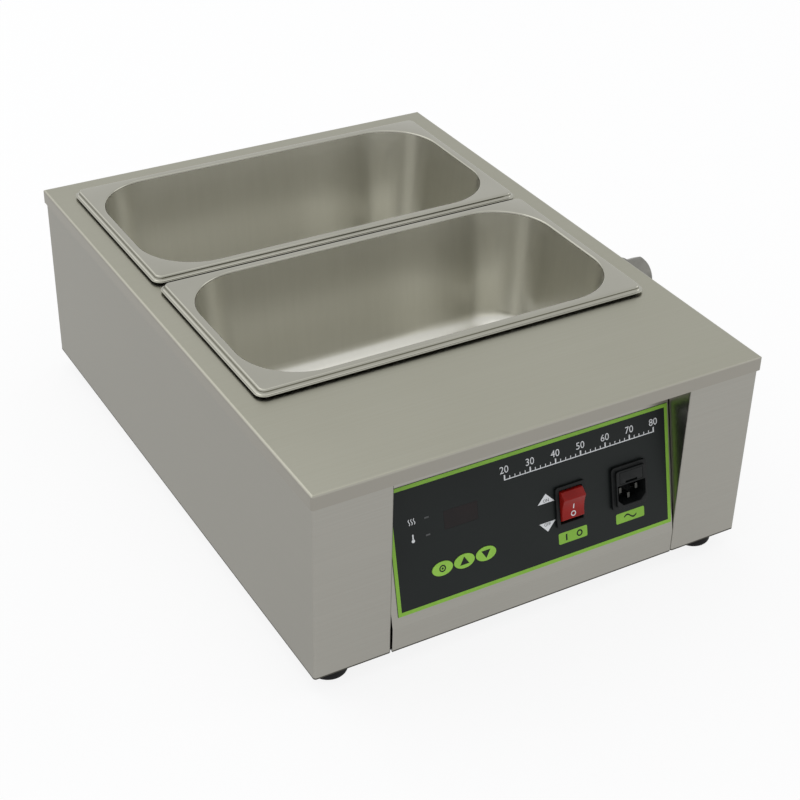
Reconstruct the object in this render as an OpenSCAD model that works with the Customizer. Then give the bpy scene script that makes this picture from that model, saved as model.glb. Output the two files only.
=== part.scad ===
// Chocolate melting tank: two lift-out pans over a heated water bath,
// with a leaning control plate in front and a drain valve on the right.
// The origin is on the table, under the middle of the casing. X runs right, Y back, Z up.

/* [Casing] */
// Width of the cover's deck on either side of the pans
side_margin = 18.5; // [16:0.5:40]
// Depth of the cover's deck in front of the pans
front_deck = 114; // [100:1:150]
// Depth of the cover's deck behind the pans
rear_margin = 22; // [18:1:50]
// Height of the casing without its feet
casing_h = 154; // [145:1:190]
// Thickness of the stainless casing sheet
sheet_t = 1.2; // [1:0.1:1.5]
// Height of the lip folded down round the cover
cover_lip = 11; // [9:0.5:16]
// Outside radius of the sheet's folds
fold_r = 2; // [1.8:0.1:2.6]
// Room between the cover's lip and the walls inside it
lip_gap = 0.3; // [0.2:0.05:0.5]
// Width of the flanges folded in along the walls' edges
flange_w = 15; // [12:0.5:18]
// Room between sheets that only lie beside each other
fit_gap = 0.3; // [0.2:0.05:0.5]

/* [Pans] */
// Length of a pan over its lip, left to right
pan_l = 325; // [280:1:380]
// Width of a pan over its lip, front to back
pan_w = 176; // [150:1:210]
// Depth of a pan from the top of its rim to its floor
pan_depth = 100; // [80:1:115]
// Thickness of the pan's sheet
pan_t = 0.8; // [0.6:0.1:1]
// Radius of the mouth's corners
mouth_r = 48; // [42:1:55]
// Radius between the pan's walls and its floor
pan_floor_r = 14; // [12:1:30]
// Draft of the pan's walls, in degrees
pan_draft = 5; // [3:0.5:6]
// Width of the flat rim round the mouth
rim_flat = 6; // [5.5:0.25:9]
// Radius of the rolled edge between rim and wall
rim_roll = 1.5; // [1:0.25:2]
// Drop of the skirt under the flat rim
rim_drop = 4.4; // [3:0.2:5]
// Width of the lip round the foot of the skirt
rim_lip = 3; // [2:0.25:4]
// Radius of the skirt's corners
skirt_corner_r = 5; // [4:0.5:8]
// Room between the two pans' lips
pan_gap = 4; // [2:0.5:10]
// Height of the collars round the cover's openings
collar_h = 5; // [4.4:0.2:8]
// Room between a pan's rim and the collar that carries it
seat_gap = 0.2; // [0.1:0.05:0.4]
// Room between a pan's wall and the collar round it
opening_gap = 2; // [1.5:0.25:3]

/* [Water tank] */
// Room between the pans and the tank's floor
water_room = 23.2; // [20:0.2:28]
// Room between the cover's openings and the tank's walls
tank_margin = 1.5; // [1:0.25:3]
// Radius of the tank's upright corners
tank_corner_r = 18; // [10:1:30]
// Width of the tank's flange under the cover
tank_flange = 8; // [5:0.5:10]

/* [Heater] */
// Radius of the element's tube
element_r = 4; // [3:0.25:4.5]
// Height of the element's centre above the tank's floor
element_rise = 9; // [8:0.5:9.5]
// Radius of the element's bend, half the spacing of its legs
element_bend_r = 62; // [50:1:75]
// Room between the element's bend and the tank's rear wall
element_rear_room = 40; // [20:1:80]
// Length of the element's cold ends in front of the tank
element_tail = 26; // [22:1:30]
// Radius of the temperature probe
probe_r = 3; // [2:0.25:3]
// Length of the probe inside the tank
probe_reach = 70; // [40:1:120]

/* [Control plate] */
// Width of the gap between the front wings
slot_w = 240; // [210:1:280]
// Room between the control plate's ends and the wings
plate_gap = 0.8; // [0.4:0.1:1]
// Height of the upright strip under the leaning face
strip_h = 20; // [16:0.5:24]
// Lean of the face, in degrees from upright
plate_lean = 13; // [10:0.5:15]
// Depth of the recess's side walls behind the top of the leaning face
recess_spare = 7; // [5:0.5:12]
// Width of bare plate left and right of the printed overlay, on average
overlay_margin = 4; // [3:0.5:8]
// Height of the printed overlay
overlay_h = 95; // [85:0.5:105]
// Thickness of the printed overlay
overlay_t = 0.5; // [0.3:0.05:0.8]
// Offset of the overlay to the right of the middle
overlay_shift = 2; // [-2:0.5:2]
// Height of the overlay's lower edge above the fold
overlay_rise = 7.6; // [6:0.2:9]

/* [Keys and display] */
// Width of an oval key
key_w = 16.8; // [14:0.2:19]
// Height of an oval key
key_h = 11; // [9:0.2:13]
// Width of plate left between two keys
key_web = 0.8; // [0.6:0.1:3]
// Distance of the middle key from the left end of the plate
key_in = 60.8; // [58:0.2:64]
// Place of the keys above the fold
key_v = 33.4; // [30:0.2:36]
// Height of a key's face above the overlay
key_proud = 0.35; // [0.2:0.05:0.6]
// Travel of a key
key_travel = 0.4; // [0.2:0.05:0.5]
// Width of the display window
window_w = 27; // [23:0.5:31]
// Height of the display window
window_h = 14; // [12:0.5:16]
// Distance of the display window from the left end of the plate
window_in = 61.3; // [58:0.1:64]
// Place of the display window above the fold
window_v = 68.3; // [66:0.1:72]
// Distance of the indicator lights from the left end of the plate
light_in = 34.7; // [30:0.1:38]
// Spacing of the two indicator lights
light_pitch = 13; // [10:0.5:16]
// Distance from the plate's face back to the board
board_back = 11; // [10:0.25:13]
// Share of the plate's width that the board takes
board_share = 0.417; // [0.4:0.001:0.43]
// Distance of the board from the left end of the plate
board_in = 12; // [10:0.5:14]
// Height of the control board
board_h = 74; // [70:1:84]
// Thickness of the control board
board_t = 1.6; // [1:0.1:2]

/* [Rocker switch] */
// Distance of the switch from the right end of the plate
switch_in = 90; // [86:0.5:93]
// Place of the switch and the inlet above the fold
switch_v = 49.6; // [47:0.2:53]
// Width of the bezel's edge on the plate
bezel_lap = 1.75; // [1.25:0.25:2.5]
// Thickness of the switch's bezel
bezel_t = 2; // [1.5:0.25:2.5]
// Depth of the switch's body behind the plate
switch_depth = 22; // [18:0.5:26]
// Width of the rocker
rocker_w = 18.8; // [17:0.1:20]
// Half the height of the rocker
rocker_half = 12.8; // [12:0.1:14]
// Height of the rocker's crests above its axle
rocker_crest = 6.5; // [5.5:0.25:7]
// Tilt of the rocker either way, in degrees
rocker_tilt = 12; // [8:1:13]
// Radius of the rocker's axle
axle_r = 1.5; // [1.2:0.1:1.8]
// Room round the rocker's axle
axle_gap = 0.05; // [0.03:0.01:0.1]

/* [Mains inlet] */
// Distance of the inlet from the right end of the plate
inlet_in = 39.5; // [34:0.5:42]
// Width of the inlet's flange on the plate
inlet_lap = 2; // [1.5:0.25:3]
// Thickness of the inlet's flange
inlet_flange_t = 2.5; // [2:0.25:3]
// Height of the shroud's face above the overlay
shroud_rise = 5; // [4:0.25:6]
// Depth of the inlet's body behind the plate
inlet_depth = 26; // [24:0.5:30]
// Width of the socket
socket_w = 24.2; // [23:0.1:26]
// Height of the socket
socket_h = 16; // [15.4:0.1:17]
// Depth of the socket
socket_depth = 16; // [14:0.5:18]
// Width of the fuse drawer
drawer_w = 20; // [18:0.5:22]
// Height of the fuse drawer
drawer_h = 8.8; // [8:0.2:10]

/* [Drain] */
// Height of the drain's axis above the tank's floor
drain_rise = 13; // [12:0.25:15]
// Distance from the cover's side to the valve's outlet
drain_reach = 122; // [110:1:140]
// Radius of the drain pipe's and the valve's port
port_r = 10; // [8.5:0.25:11.5]
// Wall of the drain pipe
pipe_wall = 3.45; // [2.5:0.05:4]
// Wall of the valve's ball beside its port
ball_wall = 5; // [4.5:0.25:6]
// Length of the valve's outlet end
end_len = 18; // [16:0.5:22]
// Radius of the valve's stem
stem_r = 5; // [4.5:0.25:5.75]
// Length of the valve's handle
handle_len = 60; // [52:1:70]

/* [Feet] */
// Height of the feet
foot_h = 15; // [12:0.5:25]
// Radius of the feet
foot_r = 14; // [10:0.5:15]
// Room between the wall's flanges and the feet's centres
foot_room = 6.5; // [5.5:0.25:9]

/* [Hidden] */
$fn = 48;

// Cuts run past the faces that they open by this much
overrun = 1;

// Outline, levels and faces of the casing
cover_w = pan_l + 2 * side_margin;
cover_d = front_deck + 2 * pan_w + pan_gap + rear_margin;
casing_z = foot_h;
base_top_z = casing_z + sheet_t;
cover_z = foot_h + casing_h;
cover_under_z = cover_z - sheet_t;
wall_top_z = cover_under_z - fold_r + sheet_t;
wall_x = cover_w / 2 - sheet_t - lip_gap;
wall_y = cover_d / 2 - sheet_t - lip_gap;
slot_half = slot_w / 2;
base_half_w = wall_x - sheet_t - fit_gap;
rear_half_w = wall_x - fold_r - fit_gap;
base_front_y = -wall_y + fold_r + fit_gap;
base_rear_y = wall_y - 2 * sheet_t - fit_gap;

// Screws of the casing
screw_r = 2;
screw_head_r = 4;
screw_head_t = 2.2;
screw_len = 8;
screw_gap = 0.1;
side_screw_share = 0.62;
rear_screw_shares = [0.2, 0.5, 0.76];
screw_line_x = wall_x - flange_w / 2;

// Pans and the cover's openings
mouth_l = pan_l - 2 * (rim_lip + pan_t + rim_flat);
mouth_w = pan_w - 2 * (rim_lip + pan_t + rim_flat);
lip_corner_r = skirt_corner_r + rim_lip;
pan_top_z = cover_z + collar_h + seat_gap + pan_t;
rear_pan_y = cover_d / 2 - rear_margin - pan_w / 2;
front_pan_y = rear_pan_y - pan_w - pan_gap;
opening_l = mouth_l + 2 * (pan_t + opening_gap);
opening_w = mouth_w + 2 * (pan_t + opening_gap);
opening_r = mouth_r + pan_t + opening_gap;

// Water tank
tank_l = opening_l + 2 * tank_margin;
tank_w = rear_pan_y - front_pan_y + opening_w + 2 * tank_margin;
tank_y = (rear_pan_y + front_pan_y) / 2;
tank_floor_z = pan_top_z - pan_depth - pan_t - water_room;
tank_front_y = tank_y - tank_w / 2 - sheet_t;
tank_rear_y = tank_y + tank_w / 2;

// Heater, probe and thermostat
element_z = tank_floor_z + element_rise;
element_bend_y = tank_rear_y - element_rear_room - element_bend_r - element_r;
gland_r = 6;
gland_floor_gap = 0.5;
gland_flange_r = element_rise - gland_floor_gap;
gland_flange_t = 3;
gland_tail = 12;
gland_gap = 0.05;
gland_nut_t = 5;
gland_nut_flats = 17;
probe_tail = 18;
probe_z = tank_floor_z + element_rise + element_r + probe_r;
probe_nut_t = 4;
cutout_stud_r = 1.5;
cutout_stud_pitch = 26;
cutout_nut_flats = 5.5;
cutout_nut_gap = 2.25;
cutout_r = cutout_stud_pitch / 2 - cutout_nut_flats / 2 - cutout_nut_gap;
cutout_t = 9;
cutout_flange_end = 4;
cutout_flange_l = cutout_stud_pitch + 2 * cutout_flange_end;
cutout_flange_w = 10;
cutout_flange_t = 1.5;
cutout_blade_w = 4;
cutout_blade_t = 0.8;
cutout_blade_len = 7;
cutout_blade_pitch = 9;
cutout_x = -70;
cutout_rise_share = 0.55;
cutout_z = tank_floor_z + (cover_z - tank_floor_z) * cutout_rise_share;

// Leaning face: fold line and length up to the cover
fold_z = casing_z + strip_h;
face_rise = cover_under_z - fold_z;
face_run = face_rise * tan(plate_lean);
plate_half = slot_half - plate_gap;
recess_wall = face_run + recess_spare;
overlay_w = slot_w - 2 * overlay_margin;

// Keys: collars behind the plate, stems to the key switches on the board
key_gap = 0.15;
key_collar_w = 1;
key_collar_t = 1;
key_stem_r = 2;
key_facets = 40;
key_switch_w = 6;
key_switch_t = 3.5;
plunger_r = 1.6;
plunger_h = 1.4;
plunger_room = 0.3;
key_u = -slot_half + key_in;
key_pitch = key_w + key_web;
key_places = [key_u - key_pitch, key_u, key_u + key_pitch];

// Display, lights and what the board carries
window_gap = 0.1;
window_u = -slot_half + window_in;
module_margin = 1.5;
module_room = 0.4;
light_w = 3.6;
light_h = 1.4;
light_body_w = 5;
light_u = -slot_half + light_in;
light_places = [window_v + light_pitch / 2, window_v - light_pitch / 2];
board_w = slot_w * board_share;
board_u = -slot_half + board_in + board_w / 2;
board_v = 50;
standoff_r = 3;
standoff_inset = 5;
board_screw_r = 1.5;
board_screw_head_r = 2.75;
board_screw_head_t = 1.8;
board_screw_len = 6;
board_rear = board_back + board_t;
relay_size = [19, 15.5, 15];
relay_place = [-24, 14];
transformer_size = [32, 27, 22];
transformer_v = 12;
transformer_gap = 2;
transformer_core_share = 0.42;
terminal_h = 10;
terminal_t = 12;
terminal_pitch = 7;
terminal_hole_r = 1.6;
terminal_hole_depth = 6;
supply_inset = 9;
supply_v = 8;
load_place = [-4, -25];
supply_u = board_w / 2 - supply_inset;
transformer_u = supply_u - terminal_pitch - transformer_gap - transformer_size[0] / 2;
supply_places = [supply_u - terminal_pitch / 2, supply_u + terminal_pitch / 2];
load_places = [for (i = [-1.5 : 1.5]) load_place[0] + i * terminal_pitch];

// Rocker switch
switch_u = slot_half - switch_in;
switch_gap = 0.1;
rocker_gap = 0.4;
switch_wall = 1.1;
switch_end_wall = 0.8;
cavity_w = rocker_w + 2 * rocker_gap;
cavity_h = 2 * (rocker_half + rocker_gap);
switch_body_w = cavity_w + 2 * switch_wall;
switch_body_h = cavity_h + 2 * switch_end_wall;
bezel_w = switch_body_w + 2 * bezel_lap;
bezel_h = switch_body_h + 2 * bezel_lap;
axle_w = switch_body_w - switch_gap;
rocker_foot_share = 0.9;
rocker_foot = 3;
rocker_leg_share = 0.3;
rocker_leg = 6.5;
rocker_crest_share = 0.66;
rocker_end_rise = 1.5;
rocker_dish = 1.3;
rocker_crest_v = rocker_half * rocker_crest_share;
rocker_dish_r = (rocker_crest_v * rocker_crest_v + rocker_dish * rocker_dish) / (2 * rocker_dish);
bezel_r = 2;
switch_floor = 4.6;
blade_w = 6.3;
blade_t = 0.8;
blade_len = 9;
blade_pitch_u = 12;
blade_pitch_v = 14;
blade_root = 3;

// Mains inlet: socket, blades and fuse drawer
inlet_u = slot_half - inlet_in;
shroud_wall = 0.9;
shroud_floor = 1.2;
inlet_rib = 1;
drawer_gap = 0.2;
body_step = 0.5;
shroud_w = socket_w + 2 * shroud_wall;
shroud_h = socket_h + inlet_rib + drawer_h + 2 * drawer_gap + 2 * shroud_floor;
inlet_body_w = shroud_w + 2 * body_step;
inlet_body_h = shroud_h + 2 * body_step;
inlet_flange_w = inlet_body_w + 2 * inlet_lap;
inlet_flange_h = inlet_body_h + 2 * inlet_lap;
inlet_r = 3;
shroud_r = 2;
socket_chamfer = 4.5;
socket_v = -shroud_h / 2 + shroud_floor + socket_h / 2;
pin_w = 2;
pin_h = 4;
pin_pitch = 14;
pin_rise = 2;
earth_drop = 3.5;
pin_back = 4.6;
pin_tail = 8;
pin_gap = 0.05;
drawer_len = 23.8;
drawer_v = shroud_h / 2 - shroud_floor - drawer_gap - drawer_h / 2;
drawer_grip_share = 0.5;
drawer_grip_h = 1.6;
drawer_front = 1.6;
fuse_r = 2.6;
fuse_len = 20;
fuse_gap = 0.2;
fuse_rise = 0.6;
fuse_cap_len = 5;
fuse_glass_r = 2.3;

// Drain pipe and ball valve
drain_y = tank_y;
drain_z = tank_floor_z + drain_rise;
thread_gap = 0.05;
socket_wall = 2.5;
pipe_r = port_r + pipe_wall;
valve_flats = 2 * (pipe_r + thread_gap + socket_wall);
hex_len = 14;
stop_len = 3;
seat_len = 10;
chamber_gap = 0.6;
seat_gap_r = 0.1;
ball_room = 4;
ball_r = port_r + ball_wall;
ball_mid = hex_len + stop_len + ball_room + ball_r;
chamber_r = ball_r + chamber_gap;
barrel_wall = 3.8;
barrel_r = chamber_r + barrel_wall;
barrel_chamfer = 5;
spigot_len = 7;
spigot_wall = 1.4;
spigot_r = chamber_r + spigot_wall;
edge_break = 1.2;
barrel_end = ball_mid + ball_r + spigot_len;
valve_len = barrel_end + end_len;
valve_x = cover_w / 2 + drain_reach - valve_len;
outlet_gap = 2.05;
outlet_r = port_r + outlet_gap;
outlet_depth = 14;
stem_bore_gap = 0.05;
boss_r = 11;
boss_room = 13;
boss_reach = barrel_r + boss_room;
stem_seat = 2;
packing_t = 8;
packing_flats = 22;
packing_gap = 0.3;
handle_t = 3;
handle_w = 16;
handle_gap = 0.4;
handle_hub_r = 10;
handle_post_r = 3;
handle_nut_t = 5;
handle_nut_flats = 10;
post_spare = 2;
wing_rise = 9;
wing_t = 3;
grommet_wall = 2.05;
grommet_r = pipe_r + grommet_wall;
grommet_lip = 2.5;
grommet_lip_t = 1.5;
grommet_gap = 0.2;

// Feet and their screws
foot_round = 3;
foot_taper = 1;
foot_bore_r = 5;
foot_bore_share = 0.55;
foot_screw_r = 2;
foot_screw_gap = 0.2;
foot_head_r = 3.8;
foot_head_t = 2.6;
nut_flats = 7;
nut_t = 3.2;
foot_x = wall_x - flange_w - foot_room;
foot_y = wall_y - flange_w - foot_room;

// Cooling slots of the base plate
slot_count = 7;
slot_len = 46;
slot_width = 4;
slot_pitch = 11;
slot_bank_x = 70;
slot_bank_in = 56.5;
slot_bank_y = -wall_y + slot_bank_in;

// Earth stud with the lug of its wire
earth_in = 24;
earth_back = 48.5;
earth_x = slot_half - earth_in;
earth_y = -wall_y + earth_back;
earth_r = 2;
earth_len = 14;
earth_washer_r = 5;
earth_washer_t = 1;
lug_r = 4.5;
lug_t = 1;
lug_w = 4;
lug_len = 10;

// Wires: straight leads at both ends, a free bow between them
wire_r = 1.3;
wire_sides = 8;
wire_steps = 8;
wire_lead = 4;
wire_entry = 4;
line_bow = 22;
neutral_bow = 14;
switched_line_bow = 22;
switched_neutral_bow = 40;
cutout_bow = 25;
tail_bow = 25;
load_bow = 22;
earth_bow = 20;

// Rounded rectangle in plan
module plan_rect(w, d, r) {
  square([w - 2 * r, d], center = true);
  square([w, d - 2 * r], center = true);
  for (sx = [-1, 1], sy = [-1, 1])
    translate([sx * (w / 2 - r), sy * (d / 2 - r)])
      circle(r = r);
}

// Slot with round ends in plan
module plan_slot(length, width) {
  square([length - width, width], center = true);
  for (sx = [-1, 1])
    translate([sx * (length - width) / 2, 0])
      circle(r = width / 2);
}

// Ring between two rounded rectangles in plan, its wall inside the outline
module plan_ring(w, d, r, wall) {
  difference() {
    plan_rect(w, d, r);
    plan_rect(w - 2 * wall, d - 2 * wall, r - wall);
  }
}

// Oval in plan
module plan_oval(w, h) {
  polygon([for (i = [0 : key_facets - 1])
    [w / 2 * cos(360 * i / key_facets), h / 2 * sin(360 * i / key_facets)]]);
}

// Quarter ring of a folded sheet: its corner at the origin, its arms along +X and +Y
module fold_arc() {
  intersection() {
    translate([fold_r, fold_r])
      difference() {
        circle(r = fold_r);
        circle(r = fold_r - sheet_t);
      }
    square([fold_r, fold_r]);
  }
}

// Extrudes a plan drawn in Y and Z along X, about the middle
module along_x(length) {
  rotate([90, 0, 90])
    translate([0, 0, -length / 2])
      linear_extrude(length)
        children();
}

// Extrudes a plan drawn in X and Z along Y, about the middle
module along_y(length) {
  rotate([90, 0, 0])
    translate([0, 0, -length / 2])
      linear_extrude(length)
        children();
}

// Frame of the leaning face: X right, Y up the slope, Z out of the face
module on_face(u = 0, v = 0, w = 0) {
  translate([0, -wall_y, fold_z])
    rotate([90 - plate_lean, 0, 0])
      translate([u, v, w])
        children();
}

// Frame of the valve: Z runs along the drain from the valve's inlet end
module on_valve() {
  translate([valve_x, drain_y, drain_z])
    rotate([0, 90, 0])
      children();
}

// Frame of the stem: Z runs forwards out of the valve, from the ball's middle
module on_stem() {
  translate([valve_x + ball_mid, drain_y, drain_z])
    rotate([90, 0, 0])
      children();
}

// Pan-head screw: head above the origin, shank below it
module pan_screw(r, length, head_r, head_t) {
  translate([0, 0, -length])
    cylinder(r = r, h = length + head_t / 2);
  intersection() {
    cylinder(r = head_r, h = head_t);
    translate([0, 0, head_t - head_r * head_r / head_t])
      sphere(r = head_r * head_r / head_t);
  }
}

// Corner radius of a hexagon of a given width over its flats
function hex_r(flats) = flats / (2 * cos(30));

// Hexagon with a hole, standing on the origin
module hex_nut(flats, t, bore_r) {
  difference() {
    cylinder(r = hex_r(flats), h = t, $fn = 6);
    translate([0, 0, -overrun])
      cylinder(r = bore_r, h = t + 2 * overrun);
  }
}

// Screws through the casing's walls, each drawn about its head's seat
module base_screw_places() {
  for (sx = [-1, 1], y = [-1, 0, 1] * wall_y * side_screw_share)
    translate([sx * screw_line_x, y, casing_z])
      mirror([0, 0, 1])
        children();
  for (sx = [-1, 1])
    translate([sx * slot_half / 2, wall_y - flange_w / 2, casing_z])
      mirror([0, 0, 1])
        children();
  for (sx = [-1, 1])
    translate([sx * slot_half * side_screw_share, -wall_y + flange_w / 2, casing_z])
      mirror([0, 0, 1])
        children();
}

module rear_screw_places() {
  for (sx = [-1, 1], share = rear_screw_shares)
    translate([sx * screw_line_x, wall_y, casing_z + casing_h * share])
      rotate([-90, 0, 0])
        children();
}

module cover_screw_places() {
  for (sx = [-1, 1])
    translate([sx * screw_line_x, cover_d / 2, cover_z - cover_lip / 2])
      rotate([-90, 0, 0])
        children();
}

module screw_hole() {
  cylinder(r = screw_r + screw_gap, h = 4 * screw_len, center = true);
}

// Block with rounded top and upright edges, hanging down from its top face
module cover_block(w, d, h, r) {
  intersection() {
    along_y(d)
      cover_arch(w, h, r);
    along_x(w)
      cover_arch(d, h, r);
    translate([0, 0, -h])
      linear_extrude(h)
        plan_rect(w, d, r);
  }
}

module cover_arch(w, h, r) {
  translate([-w / 2, -h])
    square([w, h - r]);
  translate([-w / 2 + r, -h])
    square([w - 2 * r, h]);
  for (sx = [-1, 1])
    translate([sx * (w / 2 - r), -r])
      circle(r = r);
}

// Top cover: folded lip all round, two openings with upturned collars
module top_cover() {
  color("silver")
  difference() {
    union() {
      difference() {
        translate([0, 0, cover_z])
          cover_block(cover_w, cover_d, cover_lip, fold_r);
        translate([0, 0, cover_under_z])
          cover_block(cover_w - 2 * sheet_t, cover_d - 2 * sheet_t,
            cover_lip + overrun, fold_r - sheet_t);
      }
      for (y = [front_pan_y, rear_pan_y])
        translate([0, y, cover_under_z])
          linear_extrude(sheet_t + collar_h)
            plan_rect(opening_l + 2 * sheet_t, opening_w + 2 * sheet_t, opening_r + sheet_t);
    }
    for (y = [front_pan_y, rear_pan_y])
      translate([0, y, cover_under_z - overrun])
        linear_extrude(sheet_t + collar_h + 2 * overrun)
          plan_rect(opening_l, opening_w, opening_r);
    cover_screw_places()
      screw_hole();
  }
}

// Water tank: one tub under both pans, hung by its flange from the cover
module water_tank() {
  color("lightgray")
  translate([0, tank_y, 0])
  difference() {
    union() {
      translate([0, 0, tank_floor_z - sheet_t])
        linear_extrude(cover_under_z - tank_floor_z + sheet_t)
          plan_rect(tank_l + 2 * sheet_t, tank_w + 2 * sheet_t, tank_corner_r + sheet_t);
      translate([0, 0, cover_under_z - sheet_t])
        linear_extrude(sheet_t)
          plan_rect(tank_l + 2 * tank_flange, tank_w + 2 * tank_flange,
            tank_corner_r + tank_flange);
    }
    translate([0, 0, tank_floor_z])
      linear_extrude(cover_under_z - tank_floor_z + overrun)
        plan_rect(tank_l, tank_w, tank_corner_r);
    translate([tank_l / 2, 0, drain_z])
      rotate([0, 90, 0])
        cylinder(r = port_r, h = 4 * sheet_t, center = true);
    translate([0, tank_front_y - tank_y, 0]) {
      for (sx = [-1, 1])
        translate([sx * element_bend_r, 0, element_z])
          rotate([90, 0, 0])
            cylinder(r = gland_r + gland_gap, h = 4 * sheet_t, center = true);
      translate([0, 0, probe_z])
        rotate([90, 0, 0])
          cylinder(r = gland_r + gland_gap, h = 4 * sheet_t, center = true);
    }
  }
}

// Left wall in plan: side, front wing with the recess's side wall, rear flange
module side_plan() {
  translate([-wall_x, -wall_y])
    fold_arc();
  translate([-wall_x + fold_r, -wall_y])
    square([wall_x - slot_half - 2 * fold_r, sheet_t]);
  translate([-slot_half, -wall_y])
    mirror([1, 0])
      fold_arc();
  translate([-slot_half - sheet_t, -wall_y + fold_r])
    square([sheet_t, recess_wall - fold_r]);
  translate([-wall_x, -wall_y + fold_r])
    square([sheet_t, 2 * wall_y - 2 * fold_r]);
  translate([-wall_x, wall_y])
    mirror([0, 1])
      fold_arc();
  translate([-wall_x + fold_r, wall_y - sheet_t])
    square([flange_w - fold_r, sheet_t]);
}

module side_sheet() {
  difference() {
    translate([0, 0, casing_z])
      linear_extrude(wall_top_z - casing_z)
        side_plan();
    translate([-slot_half - fold_r, base_front_y - fit_gap, casing_z - overrun])
      cube([2 * fold_r, recess_wall, sheet_t + overrun]);
  }
  translate([-wall_x + sheet_t / 2, base_front_y, base_top_z])
    cube([flange_w - sheet_t / 2, base_rear_y - base_front_y, sheet_t]);
}

module side_panel_holes() {
  base_screw_places()
    screw_hole();
  rear_screw_places()
    screw_hole();
  cover_screw_places()
    screw_hole();
}

// Left wall of the casing
module left_side_panel() {
  color("silver")
  difference() {
    side_sheet();
    side_panel_holes();
  }
}

// Right wall of the casing, with the hole for the drain
module right_side_panel() {
  color("silver")
  difference() {
    mirror([1, 0, 0])
      side_sheet();
    side_panel_holes();
    translate([wall_x, drain_y, drain_z])
      rotate([0, 90, 0])
        cylinder(r = grommet_r, h = 4 * sheet_t, center = true);
  }
}

// Rear wall between the side walls' flanges
module rear_panel() {
  color("silver")
  difference() {
    union() {
      translate([-rear_half_w, wall_y - 2 * sheet_t, casing_z])
        cube([2 * rear_half_w, sheet_t, cover_under_z - casing_z]);
      translate([-wall_x + flange_w + fit_gap, wall_y - flange_w, base_top_z])
        cube([2 * (wall_x - flange_w - fit_gap), flange_w - 3 * sheet_t / 2, sheet_t]);
    }
    base_screw_places()
      screw_hole();
    rear_screw_places()
      screw_hole();
    cover_screw_places()
      screw_hole();
  }
}

// Base plate with cooling slots under the control compartment
module base_plate() {
  color("gray")
  difference() {
    translate([-base_half_w, base_front_y, casing_z])
      cube([2 * base_half_w, base_rear_y - base_front_y, sheet_t]);
    base_screw_places()
      screw_hole();
    for (sx = [-1, 1], sy = [-1, 1])
      translate([sx * foot_x, sy * foot_y, casing_z])
        cylinder(r = foot_screw_r + foot_screw_gap, h = 4 * sheet_t, center = true);
    for (sx = [-1, 1], i = [0 : slot_count - 1])
      translate([sx * slot_bank_x, slot_bank_y + i * slot_pitch, casing_z - overrun])
        linear_extrude(sheet_t + 2 * overrun)
          plan_slot(slot_len, slot_width);
    translate([earth_x, earth_y, casing_z])
      cylinder(r = earth_r + screw_gap, h = 4 * sheet_t, center = true);
  }
}

// Section of the control plate in Y and Z: strip, leaning face and the flanges at foot and top
module plate_section() {
  top_y = -wall_y + face_run;
  foot_y = -wall_y + sheet_t;
  polygon([
    [-wall_y, casing_z],
    [-wall_y, fold_z],
    [top_y, cover_under_z],
    [top_y + flange_w, cover_under_z],
    [top_y + flange_w, cover_under_z - sheet_t],
    [top_y + sheet_t / cos(plate_lean) - sheet_t * tan(plate_lean), cover_under_z - sheet_t],
    [foot_y, fold_z - sheet_t * tan(plate_lean / 2)],
    [foot_y, base_top_z + sheet_t],
    [-wall_y + flange_w, base_top_z + sheet_t],
    [-wall_y + flange_w, base_top_z],
    [foot_y, base_top_z],
    [foot_y, casing_z]]);
}

// Places of the keys along the row
module key_row() {
  for (u = key_places)
    on_face(u, key_v)
      children();
}

// Openings that the plate and the overlay share
module face_openings() {
  key_row()
    translate([0, 0, -board_back])
      linear_extrude(2 * board_back)
        plan_oval(key_w, key_h);
  on_face(window_u, window_v, -board_back)
    linear_extrude(2 * board_back)
      square([window_w, window_h], center = true);
  for (v = light_places)
    on_face(light_u, v, -board_back)
      linear_extrude(2 * board_back)
        square([light_w, light_h], center = true);
  on_face(switch_u, switch_v, -board_back)
    linear_extrude(2 * board_back)
      square([switch_body_w + 2 * switch_gap, switch_body_h + 2 * switch_gap], center = true);
  on_face(inlet_u, switch_v, -board_back)
    linear_extrude(2 * board_back)
      square([inlet_body_w + 2 * switch_gap, inlet_body_h + 2 * switch_gap], center = true);
}

// Control plate: upright strip, leaning face, flanges at foot and top
module control_plate() {
  color("silver")
  difference() {
    along_x(2 * plate_half)
      plate_section();
    face_openings();
    base_screw_places()
      screw_hole();
  }
}

// Pan's half section from the corner's centre outwards, top of the rim at zero, grown by g
module pan_section(g) {
  corner_r = pan_floor_r + g;
  bend_z = -(pan_depth - pan_floor_r);
  foot = mouth_r + g + bend_z * tan(pan_draft);
  roll = rim_roll - g;
  intersection() {
    union() {
      polygon([[0, 0], [mouth_r + g, 0], [foot, bend_z], [0, bend_z]]);
      translate([foot - corner_r, bend_z])
        circle(r = corner_r);
      translate([0, -pan_depth - g])
        square([foot - corner_r, corner_r]);
      translate([0, -roll])
        difference() {
          square([mouth_r + rim_roll, roll]);
          translate([mouth_r + rim_roll, 0])
            circle(r = roll);
        }
    }
    translate([0, -pan_depth - g])
      square([mouth_r + rim_roll, pan_depth + g]);
  }
}

// Drafted form of a pan: corners revolved, sides extruded from the same section
module pan_form(g) {
  run_x = mouth_l / 2 - mouth_r;
  run_y = mouth_w / 2 - mouth_r;
  for (side = [[run_x, run_y, 0], [run_y, run_x, 90], [run_x, run_y, 180], [run_y, run_x, 270]])
    rotate([0, 0, side[2]])
      translate([side[0], side[1], 0]) {
        rotate_extrude(angle = 90)
          pan_section(g);
        rotate([90, 0, 0])
          linear_extrude(2 * side[1])
            pan_section(g);
      }
  translate([-run_x, -run_y, -pan_depth - g])
    cube([2 * run_x, 2 * run_y, pan_depth + g]);
}

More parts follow.
